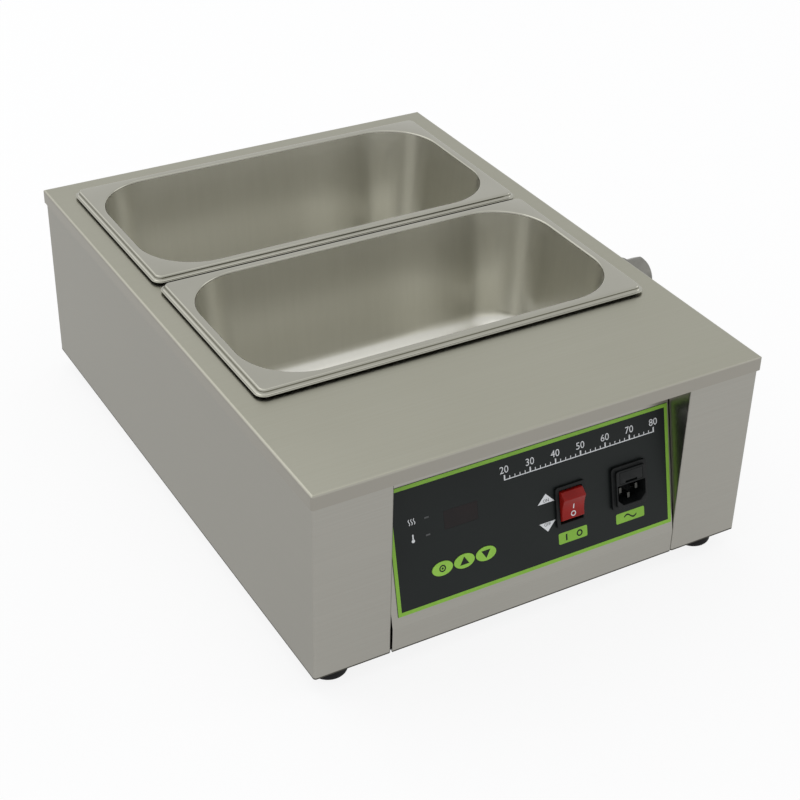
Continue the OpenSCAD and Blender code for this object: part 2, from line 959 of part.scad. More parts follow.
// Pan with a flat rim, a stepped skirt and a lip round its foot
module pan(y) {
  skirt_l = pan_l - 2 * rim_lip;
  skirt_w = pan_w - 2 * rim_lip;
  color("silver")
  translate([0, y, pan_top_z])
  difference() {
    union() {
      pan_form(pan_t);
      translate([0, 0, -pan_t])
        linear_extrude(pan_t)
          plan_rect(skirt_l, skirt_w, skirt_corner_r);
      translate([0, 0, -rim_drop])
        linear_extrude(rim_drop)
          plan_ring(skirt_l, skirt_w, skirt_corner_r, pan_t);
      translate([0, 0, -rim_drop])
        linear_extrude(pan_t)
          plan_ring(pan_l, pan_w, lip_corner_r, rim_lip + pan_t);
    }
    pan_form(0);
  }
}

module front_pan() { pan(front_pan_y); }
module rear_pan() { pan(rear_pan_y); }

// Printed overlay on the leaning face
module overlay() {
  color("black")
  difference() {
    on_face(overlay_shift, overlay_rise + overlay_h / 2)
      linear_extrude(overlay_t)
        square([overlay_w, overlay_h], center = true);
    face_openings();
  }
}

// Oval key with a collar behind the plate and a stem to its key switch
module key(u) {
  stem_end = board_back - key_switch_t - plunger_h - plunger_room - key_travel;
  collar_back = sheet_t + fit_gap + key_collar_t;
  color("yellowgreen")
  on_face(u, key_v) {
    translate([0, 0, -sheet_t - fit_gap - key_collar_t / 2])
      linear_extrude(sheet_t + fit_gap + key_collar_t / 2 + overlay_t + key_proud)
        plan_oval(key_w - 2 * key_gap, key_h - 2 * key_gap);
    translate([0, 0, -collar_back])
      linear_extrude(key_collar_t)
        plan_oval(key_w - 2 * key_gap, key_h + 2 * key_collar_w);
    translate([0, 0, -stem_end])
      cylinder(r = key_stem_r, h = stem_end - sheet_t);
  }
}

module set_key() { key(key_places[0]); }
module up_key() { key(key_places[1]); }
module down_key() { key(key_places[2]); }

// Smoked window over the display
module display_window() {
  color("darkred")
  on_face(window_u, window_v, -sheet_t)
    linear_extrude(sheet_t + overlay_t)
      square([window_w - 2 * window_gap, window_h - 2 * window_gap], center = true);
}

// Three-digit display module on the board
module display_module() {
  depth = board_back - sheet_t - module_room;
  color("dimgray")
  on_face(window_u, window_v, -board_back)
    linear_extrude(depth)
      square([window_w - 2 * module_margin, window_h + 2 * module_margin], center = true);
}

// Indicator lights with flat light pipes through the face
module indicator_lights() {
  color("red")
  for (v = light_places)
    on_face(light_u, v, -board_back) {
      linear_extrude(board_back - sheet_t - module_room)
        square([light_body_w, light_body_w], center = true);
      linear_extrude(board_back + overlay_t)
        square([light_w - 2 * window_gap, light_h - 2 * window_gap], center = true);
    }
}

// Corners of the board, where it is screwed to its standoffs
module board_corners() {
  for (sx = [-1, 1], sy = [-1, 1])
    on_face(board_u + sx * (board_w / 2 - standoff_inset), board_v + sy * (board_h / 2 - standoff_inset))
      children();
}

// Control board behind the face
module control_board() {
  color("darkgreen")
  difference() {
    on_face(board_u, board_v, -board_rear)
      linear_extrude(board_t)
        square([board_w, board_h], center = true);
    board_corners()
      translate([0, 0, -board_rear - overrun])
        cylinder(r = board_screw_r + screw_gap, h = board_t + 2 * overrun);
  }
}

// Standoffs between the plate and the board
module board_standoffs() {
  color("gold")
  board_corners()
    translate([0, 0, -board_back])
      difference() {
        cylinder(r = standoff_r, h = board_back - sheet_t);
        translate([0, 0, -overrun])
          cylinder(r = board_screw_r + screw_gap, h = board_screw_len + overrun);
      }
}

// Screws that hold the board on its standoffs
module board_screws() {
  color("lightgray")
  board_corners()
    translate([0, 0, -board_rear])
      mirror([0, 0, 1])
        pan_screw(board_screw_r, board_screw_len, board_screw_head_r, board_screw_head_t);
}

// Key switches on the board, one behind each key
module key_switches() {
  color("dimgray")
  key_row()
    translate([0, 0, -board_back]) {
      linear_extrude(key_switch_t)
        square([key_switch_w, key_switch_w], center = true);
      cylinder(r = plunger_r, h = key_switch_t + plunger_h);
    }
}

// Piece on the back of the board, drawn from the board's rear face backwards
module on_board_rear(place) {
  on_face(board_u + place[0], board_v + place[1], -board_rear)
    mirror([0, 0, 1])
      children();
}

// Relay that switches the heater
module power_relay() {
  color("royalblue")
  on_board_rear(relay_place)
    translate([-relay_size[0] / 2, -relay_size[1] / 2, 0])
      cube(relay_size);
}

// Supply transformer: laminated core with its winding above and below
module transformer() {
  color("goldenrod")
  on_board_rear([transformer_u, transformer_v]) {
    translate([-transformer_size[0] / 2, -transformer_size[1] * transformer_core_share / 2, 0])
      cube([transformer_size[0], transformer_size[1] * transformer_core_share, transformer_size[2]]);
    translate([0, transformer_size[1] / 2, transformer_size[2] / 2])
      rotate([90, 0, 0])
        linear_extrude(transformer_size[1])
          plan_rect(transformer_size[0] * (1 - transformer_core_share / 2),
            transformer_size[2] * (1 - transformer_core_share / 2), fold_r);
  }
}

// Terminal blocks for the supply and for the loads, with their wire entries
module terminal_row(places, v) {
  difference() {
    on_board_rear([(places[0] + places[len(places) - 1]) / 2, v])
      translate([-len(places) * terminal_pitch / 2, -terminal_h / 2, 0])
        cube([len(places) * terminal_pitch, terminal_h, terminal_t]);
    for (u = places)
      on_board_rear([u, v])
        translate([0, 0, terminal_t - terminal_hole_depth])
          cylinder(r = terminal_hole_r, h = terminal_hole_depth + overrun);
  }
}

module terminal_block() {
  color("green") {
    terminal_row(supply_places, supply_v);
    terminal_row(load_places, load_place[1]);
  }
}

// Bezel and body of the rocker switch
module switch_housing() {
  color("black")
  on_face(switch_u, switch_v)
    difference() {
      union() {
        translate([0, 0, overlay_t])
          linear_extrude(bezel_t)
            plan_rect(bezel_w, bezel_h, bezel_r);
        translate([0, 0, -switch_depth])
          linear_extrude(switch_depth + overlay_t)
            square([switch_body_w, switch_body_h], center = true);
      }
      translate([0, 0, -switch_depth + switch_floor])
        linear_extrude(switch_depth + overlay_t + bezel_t)
          square([cavity_w, cavity_h], center = true);
      rotate([0, 90, 0])
        cylinder(r = axle_r + axle_gap, h = switch_body_w, center = true);
      blade_places()
        cube([blade_w + 2 * pin_gap, blade_t + 2 * pin_gap, 2 * switch_floor + overrun], center = true);
    }
}

// Spade terminals of the switch, set in the back of its body
module blade_places() {
  for (sx = [-1, 1], sy = [-1, 1])
    translate([sx * blade_pitch_u / 2, sy * blade_pitch_v / 2, -switch_depth])
      children();
}

module switch_terminals() {
  color("gold")
  on_face(switch_u, switch_v)
    blade_places()
      translate([-blade_w / 2, -blade_t / 2, -blade_len])
        cube([blade_w, blade_t, blade_len + blade_root]);
}

// Rocker in section, axle at the origin, level
module rocker_section() {
  foot_v = rocker_half * rocker_foot_share;
  leg_v = rocker_half * rocker_leg_share;
  difference() {
    polygon([
      [-rocker_half, rocker_end_rise],
      [-rocker_crest_v, rocker_crest],
      [rocker_crest_v, rocker_crest],
      [rocker_half, rocker_end_rise],
      [foot_v, -rocker_foot],
      [leg_v, -rocker_leg],
      [-leg_v, -rocker_leg],
      [-foot_v, -rocker_foot]]);
    translate([0, rocker_crest - rocker_dish + rocker_dish_r])
      circle(r = rocker_dish_r, $fn = 96);
  }
}

// Rocker on its axle, resting with its lower half pressed in
module rocker() {
  color("firebrick")
  on_face(switch_u, switch_v)
    rotate([rocker_tilt, 0, 0]) {
      along_x(rocker_w)
        rocker_section();
      rotate([0, 90, 0])
        cylinder(r = axle_r, h = axle_w, center = true);
    }
}

// Socket in plan, its lower corners cut off
module socket_plan() {
  x = socket_w / 2;
  y = socket_h / 2;
  polygon([[-x, y], [x, y], [x, -y + socket_chamfer], [x - socket_chamfer, -y],
    [-x + socket_chamfer, -y], [-x, -y + socket_chamfer]]);
}

// Places of the three blades, line and neutral above the earth
module pin_places() {
  for (place = [[-pin_pitch / 2, pin_rise], [pin_pitch / 2, pin_rise], [0, -earth_drop]])
    translate([place[0], socket_v + place[1], 0])
      children();
}

// Mains inlet: flange, shroud, socket and the well of the fuse drawer
module inlet_body() {
  face_w = overlay_t + shroud_rise;
  color("black")
  on_face(inlet_u, switch_v)
    difference() {
      union() {
        translate([0, 0, overlay_t])
          linear_extrude(inlet_flange_t)
            plan_rect(inlet_flange_w, inlet_flange_h, inlet_r);
        translate([0, 0, overlay_t])
          linear_extrude(shroud_rise)
            plan_rect(shroud_w, shroud_h, shroud_r);
        translate([0, 0, -inlet_depth])
          linear_extrude(inlet_depth + overlay_t)
            square([inlet_body_w, inlet_body_h], center = true);
      }
      translate([0, socket_v, face_w - socket_depth])
        linear_extrude(socket_depth + overrun)
          socket_plan();
      translate([0, drawer_v, face_w - drawer_len - drawer_gap])
        linear_extrude(drawer_len + drawer_gap + overrun)
          square([drawer_w + 2 * drawer_gap, drawer_h + 2 * drawer_gap], center = true);
      pin_places()
        cube([pin_w + 2 * pin_gap, pin_h + 2 * pin_gap, 4 * inlet_depth], center = true);
    }
}

// Blades of the inlet, through its back to their terminals
module inlet_pins() {
  color("silver")
  on_face(inlet_u, switch_v)
    pin_places()
      translate([-pin_w / 2, -pin_h / 2, -inlet_depth - pin_tail])
        cube([pin_w, pin_h, inlet_depth + pin_tail + overlay_t + shroud_rise - pin_back]);
}

// Fuse drawer with a finger grip and an open trough for the fuse
module fuse_drawer() {
  face_w = overlay_t + shroud_rise;
  color("black")
  on_face(inlet_u, switch_v + drawer_v, face_w)
    difference() {
      translate([0, 0, -drawer_len])
        linear_extrude(drawer_len)
          square([drawer_w, drawer_h], center = true);
      translate([0, fuse_rise, -drawer_front - fuse_len - 2 * fuse_gap])
        linear_extrude(fuse_len + 2 * fuse_gap) {
          circle(r = fuse_r + fuse_gap);
          translate([-fuse_r - fuse_gap, 0])
            square([2 * (fuse_r + fuse_gap), drawer_h]);
        }
      translate([0, -drawer_h / 2, 0])
        cube([drawer_w * drawer_grip_share, 2 * drawer_grip_h, 2 * drawer_grip_h], center = true);
    }
}

// Glass fuse with metal caps
module fuse() {
  color("silver")
  on_face(inlet_u, switch_v + drawer_v + fuse_rise, overlay_t + shroud_rise - drawer_front - fuse_gap)
    mirror([0, 0, 1]) {
      cylinder(r = fuse_glass_r, h = fuse_len);
      cylinder(r = fuse_r, h = fuse_cap_len);
      translate([0, 0, fuse_len - fuse_cap_len])
        cylinder(r = fuse_r, h = fuse_cap_len);
    }
}

// Tubular element: one long hairpin over the tank's floor
module heating_element() {
  color("dimgray")
  translate([0, 0, element_z]) {
    for (sx = [-1, 1])
      translate([sx * element_bend_r, tank_front_y - element_tail, 0])
        rotate([-90, 0, 0])
          cylinder(r = element_r, h = element_bend_y - tank_front_y + element_tail);
    translate([0, element_bend_y, 0])
      rotate_extrude(angle = 180)
        translate([element_bend_r, 0])
          circle(r = element_r);
  }
}

// Places of the element's glands, Z running forwards out of the tank
module gland_places() {
  for (sx = [-1, 1])
    translate([sx * element_bend_r, tank_front_y, element_z])
      rotate([90, 0, 0])
        children();
}

// Gland: flange inside the tank, bush through its wall
module gland(bore_r) {
  difference() {
    union() {
      translate([0, 0, -sheet_t - gland_flange_t])
        cylinder(r = gland_flange_r, h = gland_flange_t);
      translate([0, 0, -sheet_t - gland_flange_t])
        cylinder(r = gland_r, h = sheet_t + gland_flange_t + gland_tail);
    }
    translate([0, 0, -sheet_t - gland_flange_t - overrun])
      cylinder(r = bore_r + gland_gap, h = sheet_t + gland_flange_t + gland_tail + 2 * overrun);
  }
}

module element_glands() {
  color("gold")
  gland_places()
    gland(element_r);
}

// Nuts that pull the element's glands against the tank
module element_nuts() {
  color("gold")
  gland_places()
    hex_nut(gland_nut_flats, gland_nut_t, gland_r + gland_gap);
}

// Temperature probe in the water between the element's legs
module temperature_probe() {
  color("lightgray")
  translate([0, tank_front_y - probe_tail, probe_z])
    rotate([-90, 0, 0]) {
      cylinder(r = probe_r, h = probe_tail + probe_reach);
      translate([0, 0, probe_tail + probe_reach])
        sphere(r = probe_r);
    }
}

// Gland and nut of the probe
module probe_gland() {
  color("gold")
  translate([0, tank_front_y, probe_z])
    rotate([90, 0, 0]) {
      gland(probe_r);
      hex_nut(gland_nut_flats, probe_nut_t, gland_r);
    }
}

// Place of the limit thermostat on the front of the tank
module on_thermostat() {
  translate([cutout_x, tank_front_y, cutout_z])
    rotate([90, 0, 0])
      children();
}

module stud_places() {
  for (sx = [-1, 1])
    translate([sx * cutout_stud_pitch / 2, 0, 0])
      children();
}

// Limit thermostat: flanged disc with two blades
module limit_thermostat() {
  color("ivory")
  on_thermostat()
    difference() {
      union() {
        linear_extrude(cutout_flange_t)
          plan_rect(cutout_flange_l, cutout_flange_w, cutout_flange_w / 2 - fit_gap);
        cylinder(r = cutout_r, h = cutout_t);
        for (sx = [-1, 1])
          translate([sx * cutout_blade_pitch / 2 - cutout_blade_t / 2, -cutout_blade_w / 2,
            cutout_t - cutout_flange_t])
            cube([cutout_blade_t, cutout_blade_w, cutout_blade_len + cutout_flange_t]);
      }
      stud_places()
        translate([0, 0, -overrun])
          cylinder(r = cutout_stud_r + screw_gap, h = cutout_flange_t + 2 * overrun);
    }
}

// Welded studs and nuts that hold the limit thermostat
module thermostat_studs() {
  color("lightgray")
  on_thermostat()
    stud_places() {
      cylinder(r = cutout_stud_r, h = cutout_flange_t + 2 * nut_t);
      translate([0, 0, cutout_flange_t])
        cylinder(r = hex_r(cutout_nut_flats), h = nut_t, $fn = 6);
    }
}

// Drain pipe from the tank's wall to the valve
module drain_pipe() {
  start = tank_l / 2 + sheet_t;
  color("silver")
  translate([start, drain_y, drain_z])
    rotate([0, 90, 0])
      difference() {
        cylinder(r = pipe_r, h = valve_x + hex_len - thread_gap - start);
        translate([0, 0, -overrun])
          cylinder(r = port_r, h = valve_x + hex_len - start + 2 * overrun);
      }
}

// Rubber grommet between the drain pipe and the side wall
module drain_grommet() {
  color("black")
  translate([wall_x, drain_y, drain_z])
    rotate([0, 90, 0])
      difference() {
        union() {
          translate([0, 0, -sheet_t - grommet_lip_t])
            cylinder(r = grommet_r + grommet_lip, h = grommet_lip_t);
          cylinder(r = grommet_r + grommet_lip, h = grommet_lip_t);
          translate([0, 0, -sheet_t - grommet_lip_t])
            cylinder(r = grommet_r - grommet_gap, h = sheet_t + 2 * grommet_lip_t);
        }
        cylinder(r = pipe_r + grommet_gap, h = 4 * grommet_r, center = true);
      }
}

// Valve body: hexagon for the wrench, barrel round the ball, boss for the stem
module valve_body() {
  color("silver")
  difference() {
    union() {
      on_valve() {
        cylinder(r = hex_r(valve_flats), h = hex_len, $fn = 6);
        rotate_extrude()
          polygon([[0, hex_len - edge_break], [valve_flats / 2 - edge_break, hex_len - edge_break],
            [barrel_r, hex_len + barrel_chamfer], [barrel_r, barrel_end - edge_break],
            [barrel_r - edge_break, barrel_end], [0, barrel_end]]);
      }
      on_stem()
        cylinder(r = boss_r, h = boss_reach);
    }
    on_valve() {
      translate([0, 0, -overrun])
        cylinder(r = pipe_r + thread_gap, h = hex_len + overrun);
      cylinder(r = port_r, h = valve_len);
      translate([0, 0, hex_len + stop_len])
        cylinder(r = chamber_r, h = valve_len);
      translate([0, 0, ball_mid + ball_r])
        cylinder(r = spigot_r + thread_gap, h = valve_len);
    }
    on_stem()
      cylinder(r = stem_r + stem_bore_gap, h = boss_reach + overrun);
  }
}

// Screwed end of the valve with the outlet's threaded socket
module valve_end() {
  color("silver")
  on_valve()
    difference() {
      union() {
        translate([0, 0, ball_mid + ball_r])
          cylinder(r = spigot_r, h = spigot_len);
        translate([0, 0, ball_mid + ball_r + edge_break])
          cylinder(r = valve_flats / 2 - edge_break, h = spigot_len);
        intersection() {
          translate([0, 0, barrel_end])
            cylinder(r = hex_r(valve_flats), h = end_len, $fn = 6);
          rotate_extrude()
            polygon([[0, barrel_end - overrun], [valve_flats / 2 + edge_break, barrel_end - overrun],
              [valve_flats / 2 + edge_break, valve_len - 2 * edge_break],
              [valve_flats / 2 - edge_break, valve_len], [0, valve_len]]);
        }
      }
      cylinder(r = port_r, h = valve_len);
      cylinder(r = chamber_r, h = ball_mid + ball_r + stop_len + thread_gap);
      translate([0, 0, valve_len - outlet_depth])
        cylinder(r = outlet_r, h = outlet_depth + overrun);
    }
}

// Sealing rings on both sides of the ball
module valve_seats() {
  color("white")
  on_valve()
    difference() {
      for (start = [hex_len + stop_len, ball_mid + ball_r + stop_len - seat_len])
        translate([0, 0, start])
          difference() {
            cylinder(r = chamber_r - seat_gap_r, h = seat_len);
            translate([0, 0, -overrun])
              cylinder(r = port_r, h = seat_len + 2 * overrun);
          }
      translate([0, 0, ball_mid])
        sphere(r = ball_r + seat_gap_r);
    }
}

// Ball with its port, turned shut, and the pocket for the stem
module valve_ball() {
  color("silver")
  difference() {
    on_valve()
      translate([0, 0, ball_mid])
        difference() {
          sphere(r = ball_r);
          rotate([0, 90, 0])
            cylinder(r = port_r, h = 4 * ball_r, center = true);
        }
    on_stem()
      translate([0, 0, ball_r - stem_seat])
        cylinder(r = stem_r + stem_bore_gap, h = ball_r);
  }
}

// Stem from the ball to the handle, with a stepped post
module valve_stem() {
  post = handle_gap + handle_t + handle_nut_t + post_spare;
  color("silver")
  on_stem()
    translate([0, 0, ball_r - stem_seat + seat_gap_r]) {
      cylinder(r = stem_r, h = boss_reach + packing_t + handle_gap - ball_r + stem_seat - seat_gap_r);
      cylinder(r = handle_post_r, h = boss_reach + packing_t + post - ball_r + stem_seat - seat_gap_r);
    }
}

// Nut that holds the stem's packing
module packing_nut() {
  color("silver")
  on_stem()
    translate([0, 0, boss_reach])
      hex_nut(packing_flats, packing_t, stem_r + packing_gap);
}

// Butterfly handle: a cross bar with two upturned wings, across the pipe when shut
module valve_handle() {
  color("crimson")
  on_stem()
    translate([0, 0, boss_reach + packing_t + handle_gap])
      difference() {
        union() {
          linear_extrude(handle_t)
            plan_rect(handle_w, handle_len, handle_w / 2 - fit_gap);
          cylinder(r = handle_hub_r, h = handle_t);
          for (sy = [-1, 1])
            intersection() {
              translate([-handle_w / 2, sy * (handle_len - wing_t) / 2 - wing_t / 2, 0])
                cube([handle_w, wing_t, wing_rise]);
              translate([0, sy * handle_len / 2, handle_t])
                rotate([90, 0, 0])
                  cylinder(r = handle_w / 2, h = 2 * handle_len, center = true);
            }
        }
        translate([0, 0, -overrun])
          cylinder(r = handle_post_r + thread_gap, h = handle_t + 2 * overrun);
      }
}

// Nut on the stem's post
module handle_nut() {
  color("lightgray")
  on_stem()
    translate([0, 0, boss_reach + packing_t + handle_gap + handle_t])
      hex_nut(handle_nut_flats, handle_nut_t, handle_post_r + thread_gap);
}

// Rubber foot with a counterbore for its screw
module foot(sx, sy) {
  color("dimgray")
  translate([sx * foot_x, sy * foot_y, 0])
    difference() {
      rotate_extrude() {
        polygon([[0, 0], [foot_r - foot_round, 0], [foot_r, foot_round],
          [foot_r - foot_taper, foot_h], [0, foot_h]]);
        intersection() {
          translate([foot_r - foot_round, foot_round])
            circle(r = foot_round);
          translate([foot_r - foot_round, 0])
            square([foot_round, foot_round]);
        }
      }
      translate([0, 0, -overrun])
        cylinder(r = foot_bore_r, h = foot_h * foot_bore_share + overrun);
      cylinder(r = foot_screw_r + foot_screw_gap, h = foot_h + overrun);
    }
}

module front_left_foot() { foot(-1, -1); }
module front_right_foot() { foot(1, -1); }
module rear_left_foot() { foot(-1, 1); }
module rear_right_foot() { foot(1, 1); }

module foot_places() {
  for (sx = [-1, 1], sy = [-1, 1])
    translate([sx * foot_x, sy * foot_y, 0])
      children();
}

// Screws up through the feet and the base plate
module foot_screws() {
  color("lightgray")
  foot_places()
    translate([0, 0, foot_h * foot_bore_share])
      mirror([0, 0, 1])
        pan_screw(foot_screw_r, foot_h * (1 - foot_bore_share) + sheet_t + nut_t + foot_screw_gap,
          foot_head_r, foot_head_t);
}

// Nuts of the feet on the base plate
module foot_nuts() {
  color("lightgray")
  foot_places()
    translate([0, 0, base_top_z])
      hex_nut(nut_flats, nut_t, foot_screw_r + screw_gap);
}

// Pan-head screws of the casing
module casing_screws() {
  color("lightgray") {
    base_screw_places()
      pan_screw(screw_r, screw_len, screw_head_r, screw_head_t);
    rear_screw_places()
      pan_screw(screw_r, screw_len, screw_head_r, screw_head_t);
    cover_screw_places()
      pan_screw(screw_r, screw_len, screw_head_r, screw_head_t);
  }
}

// Earth stud on the base plate: bolt, washer and nut
module earth_stud() {
  color("gold")
  translate([earth_x, earth_y, 0]) {
    translate([0, 0, casing_z - screw_head_t])
      cylinder(r = screw_head_r, h = screw_head_t);
    translate([0, 0, casing_z - screw_head_t / 2])
      cylinder(r = earth_r, h = earth_len);
    translate([0, 0, base_top_z])
      cylinder(r = earth_washer_r, h = earth_washer_t);
    translate([0, 0, base_top_z + earth_washer_t + lug_t])
      cylinder(r = hex_r(nut_flats), h = nut_t, $fn = 6);
  }
}

// Tube swept along a route: a ring square to the route at each of its points
function unit(v) = v / norm(v);
function heading(route, i) = unit(route[min(i + 1, len(route) - 1)] - route[max(i - 1, 0)]);
function square_to(t, s) = unit(s - t * (s * t));
function ring_side(route, i) = square_to(heading(route, i), i == 0 ? [1, 0, 0] : ring_side(route, i - 1));
function ring(route, i) =
  let (t = heading(route, i), s = ring_side(route, i), b = cross(t, s))
  [for (k = [0 : wire_sides - 1])
    route[i] + wire_r * (cos(360 * k / wire_sides) * s + sin(360 * k / wire_sides) * b)];

module wire(route) {
  last = len(route) - 1;
  n = wire_sides;
  points = [for (i = [0 : last], point = ring(route, i)) point];
  walls = [for (i = [0 : last - 1], k = [0 : n - 1], half = [0, 1])
    half == 0
      ? [i * n + k, (i + 1) * n + k, (i + 1) * n + (k + 1) % n]
      : [i * n + k, (i + 1) * n + (k + 1) % n, i * n + (k + 1) % n]];
  ends = [[for (k = [0 : n - 1]) k], [for (k = [n - 1 : -1 : 0]) last * n + k]];
  polyhedron(points = points, faces = concat(walls, ends));
}

// Point of the leaning face's frame in the part's own frame
function on_plate(u, v, w) = [
  u,
  -wall_y + v * sin(plate_lean) - w * cos(plate_lean),
  fold_z + v * cos(plate_lean) + w * sin(plate_lean)];

// Directions in which the ends of the wires leave: behind the face, in front of the tank
into_bay = [0, cos(plate_lean), -sin(plate_lean)];
off_tank = [0, -1, 0];

// Route from one end to the other: straight leads and a bow that leaves both along their directions
function bow(a, way_a, b, way_b, reach) =
  let (p = a + wire_lead * way_a, q = b + wire_lead * way_b)
  concat([a],
    [for (i = [0 : wire_steps])
      let (t = i / wire_steps, r = 1 - t)
      r * r * r * p + 3 * r * r * t * (p + reach * way_a)
        + 3 * r * t * t * (q + reach * way_b) + t * t * t * q],
    [b]);

// End of a wire in a hole of a terminal block
function in_block(u, v) = on_plate(board_u + u, board_v + v, wire_entry - board_rear - terminal_t);

// Ends of the inlet's and the switch's blades
function pin_end(u, v) = on_plate(inlet_u + u, switch_v + socket_v + v, -inlet_depth - pin_tail);
function blade_end(side, level) =
  on_plate(switch_u + side * blade_pitch_u / 2, switch_v + level * blade_pitch_v / 2,
    -switch_depth - blade_len);

// Wires from the inlet to the switch and on to the supply terminals
module mains_wires() {
  color("saddlebrown") {
    wire(bow(pin_end(pin_pitch / 2, pin_rise), into_bay, blade_end(1, 1), into_bay, line_bow));
    wire(bow(pin_end(-pin_pitch / 2, pin_rise), into_bay, blade_end(1, -1), into_bay, neutral_bow));
    wire(bow(blade_end(-1, 1), into_bay, in_block(supply_places[1], supply_v), into_bay, switched_line_bow));
    wire(bow(blade_end(-1, -1), into_bay, in_block(supply_places[0], supply_v), into_bay,
      switched_neutral_bow));
  }
}

// Wires from the load terminals over the limit thermostat to the element
module heater_wires() {
  cutout_end = tank_front_y - cutout_t - cutout_blade_len;
  tail_y = tank_front_y - element_tail;
  color("darkslategray") {
    wire(bow(in_block(load_places[0], load_place[1]), into_bay,
      [cutout_x - cutout_blade_pitch / 2, cutout_end, cutout_z], off_tank, cutout_bow));
    wire(bow([cutout_x + cutout_blade_pitch / 2, cutout_end, cutout_z], off_tank,
      [-element_bend_r, tail_y, element_z], off_tank, tail_bow));
    wire(bow(in_block(load_places[3], load_place[1]), into_bay,
      [element_bend_r, tail_y, element_z], off_tank, load_bow));
  }
}

// Lead of the temperature probe
module probe_wire() {
  color("white")
  wire(bow([0, tank_front_y - probe_tail, probe_z], off_tank,
    in_block(load_places[2], load_place[1]), into_bay, load_bow));
}

// Earth wire from the inlet to the stud, with its lug
module earth_wire() {
  lug_z = base_top_z + earth_washer_t;
  color("yellowgreen") {
    translate([earth_x, earth_y, lug_z])
      difference() {
        union() {
          cylinder(r = lug_r, h = lug_t);
          translate([-lug_w / 2, 0, 0])
            cube([lug_w, lug_len, lug_t]);
        }
        cylinder(r = earth_r + screw_gap, h = 4 * lug_t, center = true);
      }
    wire(bow(pin_end(0, -earth_drop), into_bay,
      [earth_x, earth_y + lug_len - wire_lead / 2, lug_z + lug_t + wire_r - screw_gap], -off_tank,
      earth_bow));
  }
}

top_cover();
water_tank();
left_side_panel();
right_side_panel();
rear_panel();
base_plate();
control_plate();
front_pan();
rear_pan();
overlay();
set_key();
up_key();
down_key();
display_window();
display_module();
indicator_lights();
control_board();
board_standoffs();
board_screws();
key_switches();
power_relay();
transformer();
terminal_block();
switch_housing();
rocker();
switch_terminals();
inlet_body();
inlet_pins();
fuse_drawer();
fuse();
heating_element();
element_glands();
element_nuts();
temperature_probe();
probe_gland();
limit_thermostat();
thermostat_studs();
drain_pipe();
drain_grommet();
valve_body();
valve_end();
valve_seats();
valve_ball();
valve_stem();
packing_nut();
valve_handle();
handle_nut();
front_left_foot();
front_right_foot();
rear_left_foot();
rear_right_foot();
foot_screws();
foot_nuts();
casing_screws();
earth_stud();
mains_wires();
heater_wires();
probe_wire();
earth_wire();
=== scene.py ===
# %% [markdown]
# # A chocolate melting tank in folded stainless steel
# The machine is a low box of folded sheet. Two drawn pans hang in its deck over a water tank,
# and a leaning face between the two front wings carries the controls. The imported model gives
# every part its place and its size. This lesson adds what the solids leave out: rounded rims,
# printed signs, screw recesses, and above all the finish of each material.

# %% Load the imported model
import math

import bmesh
import bpy
from mathutils import Matrix, Vector


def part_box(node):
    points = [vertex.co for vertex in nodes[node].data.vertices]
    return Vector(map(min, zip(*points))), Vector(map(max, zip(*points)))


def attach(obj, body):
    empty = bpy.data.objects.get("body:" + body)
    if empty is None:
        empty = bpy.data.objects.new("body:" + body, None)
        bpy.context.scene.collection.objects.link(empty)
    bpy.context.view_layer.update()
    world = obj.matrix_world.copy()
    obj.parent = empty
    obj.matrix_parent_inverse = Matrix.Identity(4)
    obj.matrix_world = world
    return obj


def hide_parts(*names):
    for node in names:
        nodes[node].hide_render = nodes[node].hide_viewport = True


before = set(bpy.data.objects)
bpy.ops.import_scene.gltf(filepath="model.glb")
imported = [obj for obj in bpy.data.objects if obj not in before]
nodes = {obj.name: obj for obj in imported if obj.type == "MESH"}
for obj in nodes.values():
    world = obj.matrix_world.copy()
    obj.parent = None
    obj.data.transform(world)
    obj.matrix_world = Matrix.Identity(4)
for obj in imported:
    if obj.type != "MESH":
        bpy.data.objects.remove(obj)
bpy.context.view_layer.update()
scene = bpy.context.scene
MM = 0.001

# %% [markdown]
# ## Camera
# The camera's place was worked out from points that show both in the photograph and in the
# model, such as the corners of the cover and of the control face. It could be set by eye, but
# then every piece would sit a little off. It looks down at 33 degrees from the front left. The
# picture is square, so one focal length in pixels serves both ways.

# %% Camera
PICTURE_PX = 800
FOCAL_PX = 1685.29
SENSOR_MM = 36
NEAR_M, FAR_M = 0.05, 50
azimuth, elevation, roll = (math.radians(a) for a in (-30.345, 32.904, 1.364))
look_at = Vector((27.7, 4.0, 35.3)) * MM
distance = 1392.75 * MM

back = Vector((math.sin(azimuth) * math.cos(elevation), -math.cos(azimuth) * math.cos(elevation),
               math.sin(elevation)))
across = Vector((0, 0, 1)).cross(back).normalized()
upright = back.cross(across)
right = math.cos(roll) * across + math.sin(roll) * upright
up = math.cos(roll) * upright - math.sin(roll) * across
turn = Matrix((right, up, back)).transposed().to_4x4()

lens = bpy.data.cameras.new("camera")
lens.sensor_width = SENSOR_MM
lens.lens = FOCAL_PX * SENSOR_MM / PICTURE_PX
lens.clip_start, lens.clip_end = NEAR_M, FAR_M
camera = bpy.data.objects.new("camera", lens)
camera.matrix_world = Matrix.Translation(look_at + back * distance) @ turn
scene.collection.objects.link(camera)
scene.camera = camera
print("lens of", round(lens.lens, 1), "mm at", [round(c, 3) for c in camera.location])

# %% [markdown]
# ## Small helpers for finishes
# Colours are written as they look on a screen, in sRGB, and Blender reckons in linear light.
# One function turns the one into the other. A second function adds a node to a tree with its
# settings and its links, so that each material below reads as a short recipe. A third starts a
# material on Object coordinates, which stay with the piece when it moves.

# %% Helpers for node trees


